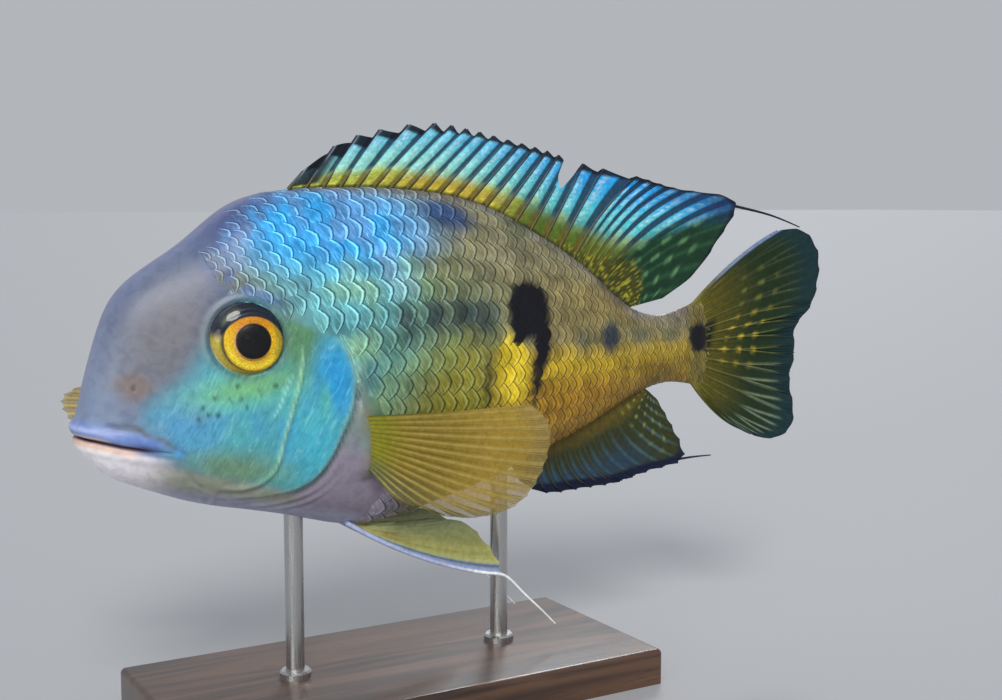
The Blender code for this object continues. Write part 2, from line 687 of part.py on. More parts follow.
def main():
    for old in list(bpy.data.objects):
        bpy.data.objects.remove(old)
    finishes = {
        "head": material("head_skin", (0.25, 0.28, 0.36), 0.35),
        "upper_lip": material("upper_lip_skin", (0.27, 0.36, 0.62), 0.35),
        "lower_jaw": material("lower_jaw_skin", (0.68, 0.55, 0.50), 0.35),
        "gill_cover_left": material("left_gill_cover_skin", (0.08, 0.42, 0.52), 0.30),
        "gill_cover_right": material("right_gill_cover_skin", (0.08, 0.42, 0.52), 0.30),
        "trunk": material("trunk_scales", (0.30, 0.34, 0.16), 0.35),
        "tail_stalk": material("tail_stalk_scales", (0.38, 0.27, 0.06), 0.35),
        "dorsal_fin": material("dorsal_membrane", (0.10, 0.34, 0.42), 0.40),
        "anal_fin": material("anal_membrane", (0.05, 0.09, 0.08), 0.40),
        "caudal_fin": material("caudal_membrane", (0.10, 0.16, 0.03), 0.40),
    }
    for side_name, side in (("left", -1), ("right", 1)):
        iris = material(f"{side_name}_eye", (0.75, 0.48, 0.02), 0.10)
        eyeball(f"eye_{side_name}", side, 0.0, iris)
        pectoral = material(f"{side_name}_pectoral_membrane", (0.42, 0.33, 0.09), 0.40)
        make_pectoral_fin(side_name, side, pectoral)
        pelvic = material(f"{side_name}_pelvic_membrane", (0.30, 0.27, 0.10), 0.40)
        make_pelvic_fin(side_name, side, pelvic)
    divide_body(plain_body(), finishes)
    make_middle_fins(finishes)
    wood = material("base_wood", (0.10, 0.05, 0.03), 0.45)
    steel = material("rod_steel", (0.60, 0.60, 0.60), 0.30, metallic=1.0)
    make_stand(wood, steel)


main()
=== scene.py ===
"""The looks of a male Nicaragua cichlid, a life-size display model held by two rods over a flat base.

The fish looks along -X, its left side faces -Y and +Z is up. Places on the fish are fractions of its
standard length: x back from the tip of the snout, y out from the middle plane, z up from the body axis.
"""

import math

import bmesh
import bpy
import numpy as np
from mathutils import Matrix, Vector


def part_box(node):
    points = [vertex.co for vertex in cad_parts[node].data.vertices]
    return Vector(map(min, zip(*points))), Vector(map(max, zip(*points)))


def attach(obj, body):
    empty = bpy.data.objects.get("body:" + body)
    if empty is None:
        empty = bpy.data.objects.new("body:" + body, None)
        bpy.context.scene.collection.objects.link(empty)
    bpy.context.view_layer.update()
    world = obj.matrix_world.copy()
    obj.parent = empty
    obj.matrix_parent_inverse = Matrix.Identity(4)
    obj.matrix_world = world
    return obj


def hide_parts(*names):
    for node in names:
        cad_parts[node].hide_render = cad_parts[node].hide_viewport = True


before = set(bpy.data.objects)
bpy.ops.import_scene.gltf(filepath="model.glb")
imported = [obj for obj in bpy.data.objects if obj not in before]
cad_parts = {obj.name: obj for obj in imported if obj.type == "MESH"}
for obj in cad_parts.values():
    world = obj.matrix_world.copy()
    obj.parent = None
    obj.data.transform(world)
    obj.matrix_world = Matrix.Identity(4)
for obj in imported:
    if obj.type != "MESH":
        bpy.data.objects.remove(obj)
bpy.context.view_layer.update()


# Stand base: a flat block of dark walnut, sawn with its grain along the fish. Its upper edges are
# rounded over, and it is sanded, stained and given two coats of satin varnish.
BASE_EDGE = 0.0012
WALNUT_DARK = (0.022, 0.010, 0.006, 1)
WALNUT_LIGHT = (0.115, 0.055, 0.028, 1)
WALNUT_PORE = (0.012, 0.006, 0.004, 1)


def connect(socket, value):
    """Gives an input its value, or the socket that feeds it."""
    if isinstance(value, bpy.types.NodeSocket):
        socket.id_data.links.new(value, socket)
    else:
        socket.default_value = value


def feed(node, **inputs):
    """Gives a node's inputs, by their names, what feeds them."""
    for name, value in inputs.items():
        connect(node.inputs[name.replace("_", " ")], value)


def add_node(tree, kind, *feeds, settings=None, **inputs):
    """Adds a node. Each feed or input is a value, or the socket that feeds it."""
    made = tree.nodes.new(kind)
    for name, value in (settings or {}).items():
        setattr(made, name, value)
    for number, value in enumerate(feeds):
        connect(made.inputs[number], value)
    feed(made, **inputs)
    return made


def calculate(tree, operation, *feeds):
    """The result of one sum on numbers or sockets."""
    return add_node(tree, "ShaderNodeMath", *feeds, settings={"operation": operation}).outputs[0]


def product(tree, first, second):
    """Two numbers or sockets multiplied."""
    return calculate(tree, "MULTIPLY", first, second)


def new_material(name):
    """A material with an empty node tree."""
    finish = bpy.data.materials.new(name)
    finish.use_nodes = True
    finish.node_tree.nodes.clear()
    return finish, finish.node_tree


def new_finish(name):
    """A material with its principled shader."""
    finish, tree = new_material(name)
    shader = add_node(tree, "ShaderNodeBsdfPrincipled")
    add_node(tree, "ShaderNodeOutputMaterial", Surface=shader.outputs["BSDF"])
    return finish, tree, shader


def object_place(tree, stretch=(1, 1, 1), turn=(0, 0, 0)):
    """The place on the piece, stretched and turned for a pattern."""
    coordinates = add_node(tree, "ShaderNodeTexCoord").outputs["Object"]
    turned = add_node(tree, "ShaderNodeMapping", Vector=coordinates, Rotation=turn).outputs["Vector"]
    return add_node(tree, "ShaderNodeMapping", Vector=turned, Scale=stretch).outputs["Vector"]


def noise(tree, place_socket, scale, detail=4.0, distortion=0.0):
    """A soft cloudy pattern from 0 to 1."""
    made = add_node(
        tree, "ShaderNodeTexNoise", Vector=place_socket, Scale=scale, Detail=detail, Distortion=distortion
    )
    return made.outputs["Fac"]


def blend_colours(tree, share, first, second, kind="MIX"):
    """Two colours mixed by a share."""
    made = add_node(tree, "ShaderNodeMix", settings={"data_type": "RGBA", "blend_type": kind})
    for name, value in (("Factor_Float", share), ("A_Color", first), ("B_Color", second)):
        connect(next(s for s in made.inputs if s.identifier == name), value)
    return next(s for s in made.outputs if s.identifier == "Result_Color")


def stretch_range(tree, value, low, high, to_low=0.0, to_high=1.0):
    """A number moved from one range to another, smoothly and without passing its ends."""
    smooth = {"interpolation_type": "SMOOTHSTEP"}
    return add_node(tree, "ShaderNodeMapRange", value, low, high, to_low, to_high, settings=smooth).outputs[0]


def bump(tree, height, depth, strength):
    """A small relief from a pattern, as deep as said in metres."""
    made = add_node(tree, "ShaderNodeBump", Height=height, Distance=depth, Strength=strength)
    return made.outputs["Normal"]


def new_object(name, data):
    """The object of a mesh, a lamp or a camera, put in the scene."""
    made = bpy.data.objects.new(name, data)
    bpy.context.scene.collection.objects.link(made)
    return made


def shape_object(name, shape, sharp_angle, finish):
    """The object of a shape, smooth but for its sharp edges."""
    mesh = bpy.data.meshes.new(name)
    shape.to_mesh(mesh)
    shape.free()
    mesh.shade_smooth()
    mesh.set_sharp_from_angle(angle=math.radians(sharp_angle))
    mesh.materials.append(finish)
    return new_object(name, mesh)


def finish_piece(piece, slot, *nodes):
    """Fixes a finished piece to the model, in the place of the solids it stands for."""
    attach(piece, "root")
    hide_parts(*nodes)


def walnut():
    finish, tree, shader = new_finish("varnished_walnut")
    grain = noise(tree, object_place(tree, (7, 90, 90)), 2.2, 8.0, 0.9)
    pores = noise(tree, object_place(tree, (90, 2600, 2600)), 1.0, 3.0)
    figure = blend_colours(tree, stretch_range(tree, grain, 0.32, 0.68), WALNUT_DARK, WALNUT_LIGHT)
    pore_share = product(tree, stretch_range(tree, pores, 0.62, 0.70), 0.7)
    feed(
        shader, Base_Color=blend_colours(tree, pore_share, figure, WALNUT_PORE),
        Roughness=stretch_range(tree, grain, 0.2, 0.8, 0.30, 0.42), Normal=bump(tree, pores, 0.00006, 0.5),
        Coat_Weight=0.35, Coat_Roughness=0.22,
    )
    return finish


def make_base():
    low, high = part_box("stand_base")
    size = high - low
    shape = bmesh.new()
    bmesh.ops.create_cube(shape, size=1.0)
    bmesh.ops.scale(shape, verts=shape.verts, vec=size)
    bmesh.ops.translate(shape, verts=shape.verts, vec=(low + high) / 2)
    middle = (low.z + high.z) / 2
    upper = [edge for edge in shape.edges if any(vertex.co.z > middle for vertex in edge.verts)]
    bmesh.ops.bevel(shape, geom=upper, offset=BASE_EDGE, segments=8, profile=0.5, affect="EDGES")
    finish_piece(shape_object("walnut_base", shape, 30, walnut()), "base_wood", "stand_base")


make_base()


# Stand rods: two upright rods of stainless steel, brushed along their length. Each is glued into the
# base through a small turned collar, and goes up into the belly.
COLLAR_RADIUS = 0.0034
COLLAR_HEIGHT = 0.0016
ROD_RIM = 0.0004
ROD_SIDES = 48


def brushed_steel():
    finish, tree, shader = new_finish("brushed_steel")
    streaks = noise(tree, object_place(tree, (3000, 3000, 110)), 1.0, 3.0)
    feed(
        shader, Base_Color=(0.52, 0.52, 0.51, 1), Metallic=1.0, Normal=bump(tree, streaks, 0.00002, 0.4),
        Roughness=stretch_range(tree, streaks, 0.3, 0.7, 0.20, 0.40),
    )
    return finish


def make_rod(name, finish):
    """A rod and its collar, turned as one outline round the rod's axis."""
    low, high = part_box(f"stand_rod_{name}")
    centre = (low + high) / 2
    radius = (high.x - low.x) / 2
    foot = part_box("stand_base")[1].z
    top = foot + COLLAR_HEIGHT
    outline = [
        (0.0, low.z), (radius, low.z), (radius, foot), (COLLAR_RADIUS, foot),
        (COLLAR_RADIUS, top - ROD_RIM), (COLLAR_RADIUS - ROD_RIM, top),
        (radius, top), (radius, high.z - ROD_RIM), (radius - ROD_RIM, high.z), (0.0, high.z),
    ]
    shape = bmesh.new()
    corners = [shape.verts.new((centre.x + r, centre.y, z)) for r, z in outline]
    edges = [shape.edges.new(pair) for pair in zip(corners, corners[1:])]
    bmesh.ops.spin(
        shape, geom=corners + edges, cent=(centre.x, centre.y, 0), axis=(0, 0, 1),
        angle=2 * math.pi, steps=ROD_SIDES, use_merge=True,
    )
    bmesh.ops.remove_doubles(shape, verts=shape.verts, dist=0.000001)
    bmesh.ops.recalc_face_normals(shape, faces=shape.faces)
    rod = shape_object(f"steel_rod_{name}", shape, 35, finish)
    finish_piece(rod, "rod_steel", f"stand_rod_{name}")


steel = brushed_steel()
for rod_name in ("front", "rear"):
    make_rod(rod_name, steel)


# Skin: one cast skin over the whole fish, from the lips to the root of the tail fin, with no seam. It
# lies inside the solids by the thickness of the scales, and carries the folds and bones of the head.
STANDARD_LENGTH = 0.150
AXIS_HEIGHT = 0.074
STAND_PLACE = 0.460
SKIN_RINGS = 328
SKIN_SIDES = 300
RING_CROWDING = 1.5
COAT_DEPTH = 0.0026

# Sections of the body: distance from the snout, back, belly, half width, height of the widest place
STATIONS = (
    (0.000, -0.058, -0.058, 0.000, -0.058),
    (0.006, -0.041, -0.084, 0.025, -0.062),
    (0.016, -0.002, -0.100, 0.037, -0.065),
    (0.032, 0.055, -0.116, 0.046, -0.068),
    (0.053, 0.106, -0.130, 0.056, -0.075),
    (0.090, 0.142, -0.146, 0.066, -0.084),
    (0.148, 0.180, -0.168, 0.079, -0.072),
    (0.215, 0.230, -0.185, 0.090, -0.046),
    (0.290, 0.250, -0.205, 0.098, -0.025),
    (0.380, 0.256, -0.228, 0.103, -0.010),
    (0.500, 0.251, -0.213, 0.099, 0.005),
    (0.600, 0.232, -0.188, 0.088, 0.010),
    (0.700, 0.187, -0.153, 0.071, 0.010),
    (0.800, 0.126, -0.115, 0.052, 0.004),
    (0.890, 0.062, -0.075, 0.035, -0.004),
    (0.945, 0.054, -0.062, 0.026, -0.003),
    (1.000, 0.070, -0.068, 0.012, 0.000),
)
HEAD_SQUARENESS = 2.25
BACK_KEEL, BACK_KEEL_START, BACK_KEEL_LENGTH = 0.40, 0.22, 0.20
TAIL_KEEL, TAIL_KEEL_START, TAIL_KEEL_LENGTH = 0.25, 0.60, 0.30

# Lips and mouth
MOUTH_LINE = (
    (-0.020, -0.067), (0.003, -0.068), (0.018, -0.071), (0.049, -0.079), (0.080, -0.085), (0.116, -0.092),
)
UPPER_LIP_HEIGHT, LOWER_LIP_HEIGHT = 0.0045, 0.0030
LIP_PLACE, LIP_WIDTH = 0.0117, 0.0078
MOUTH_END, LIP_FADE = 0.100, 0.014
SLIT_DEPTH, SLIT_WIDTH = 0.0065, 0.0017

# Lines on the head, seen from the side: the edge of the upper jaw, the ridge of the cheek, and the
# rear edge of the gill cover
JAW_FOLD = (
    (0.026, -0.052), (0.054, -0.054), (0.067, -0.057), (0.078, -0.066), (0.091, -0.070), (0.109, -0.082),
    (0.130, -0.098),
)
CHIN_CREASE = ((0.108, -0.094), (0.122, -0.112), (0.140, -0.134), (0.168, -0.150))
CHEEK_RIDGE = (
    (0.281, 0.051), (0.276, 0.005), (0.264, -0.041), (0.251, -0.088), (0.243, -0.119), (0.226, -0.138),
    (0.195, -0.146), (0.165, -0.140),
)
CHEEK_SECOND_RIDGE = ((0.270, 0.014), (0.257, -0.014), (0.243, -0.042), (0.232, -0.062))
GILL_EDGE = (
    (0.318, 0.062), (0.336, 0.046), (0.350, 0.018), (0.354, -0.013), (0.347, -0.047), (0.335, -0.080),
    (0.318, -0.118), (0.294, -0.146), (0.262, -0.158), (0.225, -0.163), (0.185, -0.162),
)
NOSTRIL = (0.0645, -0.004)
BREAST_FIN_ROOT = ((0.366, -0.056), (0.374, -0.130))
BREAST_FIN_PAD = ((0.362, -0.034), (0.378, -0.150))

# The eye: its place, radius and bulge
EYE_PLACE = (0.206, 0.056)
EYE_RADIUS = 0.049
EYE_BULGE = 0.018
EYE_BACK = 0.034
EYE_SUNK = 0.004


def stacked(*parts):
    """Places from their coordinates, each a number or an array."""
    return np.stack(np.broadcast_arrays(*parts), axis=-1)


def place(points):
    """Places in metres, from fractions of the standard length."""
    return (np.asarray(points) - (STAND_PLACE, 0, 0)) * STANDARD_LENGTH + (0, 0, AXIS_HEIGHT)


def spline(knots, values, start_slope=None):
    """The natural cubic curve through the values, or one that leaves its first knot at the given slope."""
    knots = np.asarray(knots, float)
    values = np.asarray(values, float)
    steps = np.diff(knots)
    slopes = np.diff(values) / steps
    count = len(knots)
    matrix = np.eye(count)
    right = np.zeros(count)
    for i in range(1, count - 1):
        matrix[i, i - 1:i + 2] = steps[i - 1], 2 * (steps[i - 1] + steps[i]), steps[i]
        right[i] = 6 * (slopes[i] - slopes[i - 1])
    if start_slope is not None:
        matrix[0, :2] = 2 * steps[0], steps[0]
        right[0] = 6 * (slopes[0] - start_slope)
    bends = np.linalg.solve(matrix, right)

    def value(at):
        i = np.clip(np.searchsorted(knots, at) - 1, 0, count - 2)
        before = at - knots[i]
        after = knots[i + 1] - at
        width = steps[i]
        return (
            (bends[i] * after**3 + bends[i + 1] * before**3) / (6 * width)
            + (values[i] / width - bends[i] * width / 6) * after
            + (values[i + 1] / width - bends[i + 1] * width / 6) * before
        )

    return value


def body_curves():
    """Curves of the body's sections against the distance along it, and that distance's end."""
    table = np.array(STATIONS)
    moves = np.diff(table[:, :3], axis=0)
    steps = np.sqrt(moves[:, 0] ** 2 + (moves[:, 1] ** 2 + moves[:, 2] ** 2) / 2)
    along = np.concatenate([[0.0], np.cumsum(steps)])
    curves = [spline(along, table[:, 0], start_slope=0.0)]
    curves += [spline(along, table[:, column]) for column in range(1, 5)]
    return curves, along[-1]


CURVES, BODY_END = body_curves()
WEDGE = 0.030
SKIN_END = BODY_END + WEDGE


def roundness(x, upper):
    """The exponent of a section's outline: broad on the head, keeled along the back and the tail."""
    back = BACK_KEEL * np.clip((x - BACK_KEEL_START) / BACK_KEEL_LENGTH, 0, 1)
    tail = TAIL_KEEL * np.clip((x - TAIL_KEEL_START) / TAIL_KEEL_LENGTH, 0, 1)
    return HEAD_SQUARENESS - np.where(upper, back, tail)


def section_points(along, angle):
    """Points of the plain body: angle 0 is the back, pi/2 the left side, pi the belly.

    Past the body's end the skin thins out in a wedge over the root of the tail fin.
    """
    beyond = np.maximum(0, along - BODY_END)
    x, back, belly, half_width, widest = [curve(np.minimum(along, BODY_END)) for curve in CURVES]
    x, back, belly = x + beyond, back + 0.55 * beyond, belly - 0.45 * beyond
    half_width = 0.0035 + (half_width - 0.0035) * np.sqrt(np.maximum(0, 1 - beyond / WEDGE))
    upper = np.cos(angle) > 0
    power = 2 / roundness(x, upper)
    sine = np.sign(np.sin(angle)) * np.abs(np.sin(angle)) ** power
    cosine = np.sign(np.cos(angle)) * np.abs(np.cos(angle)) ** power
    reach = np.where(upper, back - widest, widest - belly)
    return stacked(x, -half_width * sine, widest + reach * cosine)


def distance_along(x):
    """The distance along the body at which its section stands at x."""
    places = np.linspace(0, BODY_END, 1200)
    return np.interp(x, CURVES[0](places), places) + np.maximum(0, np.asarray(x) - 1.0)


def skin_side(x, z):
    """The half width of the body at places seen from the side."""
    along = np.minimum(distance_along(x), BODY_END)
    _, back, belly, half_width, widest = [curve(along) for curve in CURVES]
    upper = z > widest
    reach = np.where(upper, back - widest, widest - belly)
    exponent = roundness(x, upper)
    return half_width * np.maximum(0.0, 1 - np.abs((z - widest) / reach) ** exponent) ** (1 / exponent)


def smooth_path(points, samples):
    """Points of a smooth curve through the given ones."""
    points = np.asarray(points, float)
    steps = np.linalg.norm(np.diff(points, axis=0), axis=1)
    knots = np.concatenate([[0.0], np.cumsum(steps)])
    places = np.linspace(0, knots[-1], samples)
    return np.stack([spline(knots, points[:, axis])(places) for axis in range(points.shape[1])], axis=1)


def ramp(value, start, end):
    """0 before the start, 1 after the end, and smooth between."""
    share = np.clip((value - start) / (end - start), 0, 1)
    return share * share * (3 - 2 * share)


def ridge(distance, width):
    """1 on a line, falling smoothly to 0 beside it."""
    return np.exp(-((distance / width) ** 2))


def from_line(x, z, path):
    """How far places, seen from the side, are from a line, and how far along it: from 0 to 1.

    The distance is above 0 on the left hand of someone who walks along the line.
    """
    line = smooth_path(path, 40)
    starts = line[:-1]
    steps = np.diff(line, axis=0)
    best = np.full(np.shape(x), 1e9)
    side = np.zeros(np.shape(x))
    along = np.zeros(np.shape(x))
    for number, (start, step) in enumerate(zip(starts, steps)):
        gap_x, gap_z = x - start[0], z - start[1]
        share = np.clip((gap_x * step[0] + gap_z * step[1]) / (step @ step), 0, 1)
        distance = np.hypot(gap_x - share * step[0], gap_z - share * step[1])
        nearer = distance < best
        best = np.where(nearer, distance, best)
        side = np.where(nearer, np.sign(step[0] * gap_z - step[1] * gap_x), side)
        along = np.where(nearer, (number + share) / len(steps), along)
    return best * side, along


def line_ends(along, share=0.12):
    """Fades a line out at its two ends."""
    return ramp(along, 0, share) * ramp(1 - along, 0, share)


def mouth_offset(points):
    """How far places are above the mouth's line, and how much of the mouth is there."""
    offset = points[..., 2] - np.interp(points[..., 0], *zip(*MOUTH_LINE))
    fade = np.clip((MOUTH_END + LIP_FADE - points[..., 0]) / (2 * LIP_FADE), 0, 1)
    return offset, fade


def eye_frame(side):
    """The eye's middle and its three directions: out of the head, forwards and upwards."""
    x, z = EYE_PLACE
    step = 0.01
    forward = (skin_side(x + step, z) - skin_side(x - step, z)) / (2 * step)
    upward = (skin_side(x, z + step) - skin_side(x, z - step)) / (2 * step)
    out = Vector((-forward, side, -upward)).normalized()
    centre = Vector((x, side * float(skin_side(x, z)), z)) - out * EYE_SUNK
    ahead = Vector((-1, 0, 0))
    ahead = (ahead - out * ahead.dot(out)).normalized()
    up = out.cross(ahead) * side
    return centre, out, ahead, up


def from_eye(points):
    """How far places on the head are from the line along which the nearer eye looks."""
    centre, out, _, _ = eye_frame(1)
    mirrored = points * (1, 0, 1) + np.abs(points * (0, 1, 0))
    gaps = mirrored - np.array(centre)
    depth = gaps @ np.array(out)
    return np.linalg.norm(gaps - depth[..., None] * np.array(out), axis=-1) + 10 * (depth < -0.05)


def coat_inset(x):
    """How far the skin lies in, to leave room for the scales: 0 on the bare head."""
    return -COAT_DEPTH * ramp(x, 0.20, 0.34)


def head_relief(points):
    """How far the skin stands out of the plain body, above 0, or lies in it, below 0."""
    x, z = points[..., 0], points[..., 2]
    offset, fade = mouth_offset(points)
    height = fade * UPPER_LIP_HEIGHT * ridge(offset - LIP_PLACE, LIP_WIDTH)
    height += fade * LOWER_LIP_HEIGHT * ridge(offset + LIP_PLACE, LIP_WIDTH)
    height -= fade * SLIT_DEPTH * ridge(offset, SLIT_WIDTH)
    height += coat_inset(x)

    distance, along = from_line(x, z, JAW_FOLD)
    height += line_ends(along) * (0.0016 * ridge(distance - 0.006, 0.005) - 0.0024 * ridge(distance, 0.0024))
    beside = ramp(np.abs(points[..., 1]), 0.010, 0.035)
    distance, along = from_line(x, z, CHIN_CREASE)
    height -= line_ends(along, 0.3) * 0.0012 * ridge(distance, 0.003) * beside
    distance, along = from_line(x, z, CHEEK_RIDGE)
    height += line_ends(along) * (0.0024 * ridge(distance, 0.0034) - 0.0016 * ridge(distance - 0.008, 0.004))
    distance, along = from_line(x, z, CHEEK_SECOND_RIDGE)
    height += line_ends(along, 0.3) * 0.0010 * ridge(distance, 0.0028)

    distance, along = from_line(x, z, GILL_EDGE)
    ends = ramp(along, 0, 0.10) * ramp(1 - along, 0, 0.22)
    cover = ramp(-distance, -0.0005, 0.0030) * ramp(0.075 + distance, 0, 0.07)
    height += ends * (0.0048 * cover - 0.0045 * ridge(distance - 0.0042, 0.0034))
    folds = np.sin(2 * math.pi * distance / 0.0125) * ramp(distance, 0.006, 0.010)
    folds *= ramp(0.042 - distance, 0, 0.012) * ramp(0.36 - x, 0, 0.06)
    height += 0.0011 * folds * beside * ramp(-z, 0.120, 0.150)

    distance, along = from_line(x, z, BREAST_FIN_PAD)
    height += 0.0120 * np.sqrt(line_ends(along, 0.30)) * ridge(distance + 0.001, 0.0170)

    gap = np.hypot(x - NOSTRIL[0], z - NOSTRIL[1])
    height += 0.0010 * ridge(gap - 0.0062, 0.0028) - 0.0035 * ridge(gap, 0.0026)

    gap = from_eye(points)
    height += 0.0015 * ridge(gap - 0.0525, 0.0030) - 0.0010 * ridge(gap - 0.0610, 0.0045)
    return height - 0.030 * (1 - ramp(gap, 0.036, 0.0480))


def grid_normals(grid):
    """Directions straight out of a closed tube of rings, seen from its places."""
    around = np.roll(grid, -1, axis=1) - np.roll(grid, 1, axis=1)
    ahead = np.gradient(grid, axis=0)
    normals = np.cross(around, ahead)
    return normals / np.maximum(np.linalg.norm(normals, axis=-1, keepdims=True), 1e-12)


def skin_grid():
    """The skin as rings of places, its tip, and the middle of its end."""
    share = np.arange(1, SKIN_RINGS + 1) / SKIN_RINGS
    along = SKIN_END * share[:, None] ** RING_CROWDING
    angle = 2 * math.pi * np.arange(SKIN_SIDES)[None, :] / SKIN_SIDES
    plain = section_points(along, angle)
    grid = plain + grid_normals(plain) * head_relief(plain)[..., None]
    return grid, grid[0].mean(axis=0), grid[-1].mean(axis=0)


def new_piece(name, points, faces, finish, colours=None):
    """A smooth mesh object from places in metres, with the colour of each place."""
    mesh = bpy.data.meshes.new(name)
    mesh.from_pydata(np.asarray(points).tolist(), [], faces)
    mesh.shade_smooth()
    mesh.materials.append(finish)
    if colours is not None:
        lay_colours(mesh, colours)
    return new_object(name, mesh)


def lay_colours(mesh, colours):
    """Stores the markings on a mesh. The fourth number is how solid they are, how strong their fine detail
    is, or on scales how strong their painted highlights are.
    """
    store = mesh.attributes.new("Markings", "FLOAT_COLOR", "POINT")
    store.data.foreach_set("color", np.asarray(colours, np.float32).ravel())


def tube_faces(rings, sides, first):
    """Faces of a tube of rings whose first place has this number."""
    numbers = first + np.arange(rings * sides).reshape(rings, sides)
    after = np.roll(numbers, -1, axis=1)
    quads = np.stack([numbers[:-1], after[:-1], after[1:], numbers[1:]], axis=-1)
    return quads.reshape(-1, 4).tolist()


# Markings: the colours of skin and scales alike, laid one over another in soft fields as a painter
# does with an airbrush. Both sides of the fish carry the same ones.
FOREHEAD = (0.112, 0.155, 0.268)
SNOUT = (0.190, 0.262, 0.410)
NAPE_VIOLET = (0.085, 0.105, 0.235)
NAPE_BLUE = (0.030, 0.355, 0.790)
SHOULDER_CYAN = (0.125, 0.430, 0.490)
GREEN_TEAL = (0.140, 0.330, 0.230)
FLANK_GREEN = (0.125, 0.190, 0.085)
OLIVE = (0.195, 0.180, 0.095)
OLIVE_GOLD = (0.240, 0.185, 0.060)
GOLD = (0.480, 0.320, 0.012)
ORANGE = (0.360, 0.185, 0.006)
BRIGHT_YELLOW = (0.700, 0.520, 0.020)
RUSSET = (0.150, 0.095, 0.012)
BELLY = (0.180, 0.150, 0.080)
MAUVE = (0.285, 0.250, 0.315)
CHEEK_CYAN = (0.090, 0.420, 0.470)
CHEEK_BLUE = (0.140, 0.320, 0.560)
GILL_BLUE = (0.025, 0.340, 0.690)
PALE_GREEN = (0.420, 0.800, 0.480)
CHIN = (0.900, 0.840, 0.880)
JAW_LAVENDER = (0.400, 0.415, 0.560)
LIP_BLUE = (0.170, 0.280, 0.640)
LIP_CREAM = (0.800, 0.560, 0.440)
# SLIT_RED: the mouth's own dark red, deepened to near black as painted shade in the slit between the lips
SLIT_RED = (0.045, 0.008, 0.014)
FOLD_BROWN = (0.140, 0.110, 0.055)
BROWN_SPOT = (0.250, 0.170, 0.120)
BLACK = (0.003, 0.003, 0.007)
SLATE = (0.055, 0.095, 0.090)
BAND_DARK = (0.020, 0.035, 0.045)
SPECK = (0.020, 0.050, 0.040)

NOSTRIL_SPOTS = ((0.066, 0.008), (0.063, -0.012), (0.051, 0.002), (0.076, -0.004))
BAND_SPOTS = ((0.432, 0.066), (0.478, 0.074), (0.520, 0.078), (0.556, 0.070))

# The black blotch on the side, as ovals: middle, half sizes and strength
SIDE_BLOTCH = (
    ((0.641, 0.077), (0.040, 0.043), 1.0), ((0.664, 0.034), (0.017, 0.052), 1.0),
    ((0.617, 0.048), (0.014, 0.022), 1.0), ((0.655, -0.018), (0.011, 0.034), 0.95),
    ((0.651, -0.050), (0.007, 0.022), 0.7), ((0.562, -0.030), (0.006, 0.040), 0.7),
)
CHEEK_FRONT = (
    (0.215, 0.118), (0.176, 0.070), (0.152, 0.040), (0.138, 0.022), (0.118, -0.002), (0.098, -0.016),
    (0.080, -0.034), (0.082, -0.060), (0.108, -0.092), (0.135, -0.118), (0.170, -0.142), (0.230, -0.158),
)
CHEEK_SPECKS = (
    (0.192, -0.006), (0.162, -0.020), (0.184, -0.025), (0.197, -0.025), (0.147, -0.032), (0.155, -0.043),
    (0.166, -0.043), (0.221, -0.017), (0.242, -0.008), (0.141, -0.046), (0.205, -0.036),
)

# The front edge of the scaled part of the body, as (height, place back from the snout)
SCALE_FRONT = (
    (-0.240, 0.370), (-0.185, 0.392), (-0.165, 0.404), (-0.150, 0.410), (-0.122, 0.410), (-0.080, 0.398),
    (-0.047, 0.374), (-0.013, 0.365), (0.010, 0.360), (0.050, 0.338), (0.062, 0.305), (0.081, 0.255),
    (0.105, 0.229), (0.116, 0.200), (0.125, 0.181), (0.147, 0.163), (0.163, 0.168), (0.183, 0.189),
    (0.209, 0.211), (0.227, 0.235), (0.245, 0.262),
)


def scale_front(z):
    """How far back the scales begin at a height."""
    return np.interp(z, *zip(*SCALE_FRONT))


def spot(x, z, centre, size, lean=0.0, softness=0.3):
    """1 in an oval seen from the side, 0 outside it. lean tips its top backwards, in degrees."""
    turn = math.radians(lean)
    across, up = x - centre[0], z - centre[1]
    wide = (across * math.cos(turn) - up * math.sin(turn)) / size[0]
    high = (across * math.sin(turn) + up * math.cos(turn)) / size[1]
    return 1 - ramp(np.hypot(wide, high), 1 - softness, 1 + softness)


def wash(colours, *layers):
    """Lays colours over one or more others in turn, each as strongly as said at each place."""
    colours = np.asarray(colours)
    for colour, strength in layers:
        strength = np.clip(strength, 0, 1)[..., None]
        colours = colours * (1 - strength) + np.asarray(colour) * strength
    return colours


def with_fourth(colours, number):
    """Colours with a fourth number: how solid they are, how strong their detail is, or how strong their
    painted highlights are.
    """
    return np.concatenate([colours, np.broadcast_to(number, colours.shape[:-1])[..., None]], axis=-1)


def value_noise(u, v, seed):
    """Smooth random values between 0 and 1 at places on a plane."""
    lattice = np.random.default_rng(seed).random((64, 64))
    column, row = np.floor(u).astype(int), np.floor(v).astype(int)
    right, up = ramp(u - column, 0, 1), ramp(v - row, 0, 1)
    low, high = [
        lattice[column % 64, line % 64] * (1 - right) + lattice[(column + 1) % 64, line % 64] * right
        for line in (row, row + 1)
    ]
    return low * (1 - up) + high * up


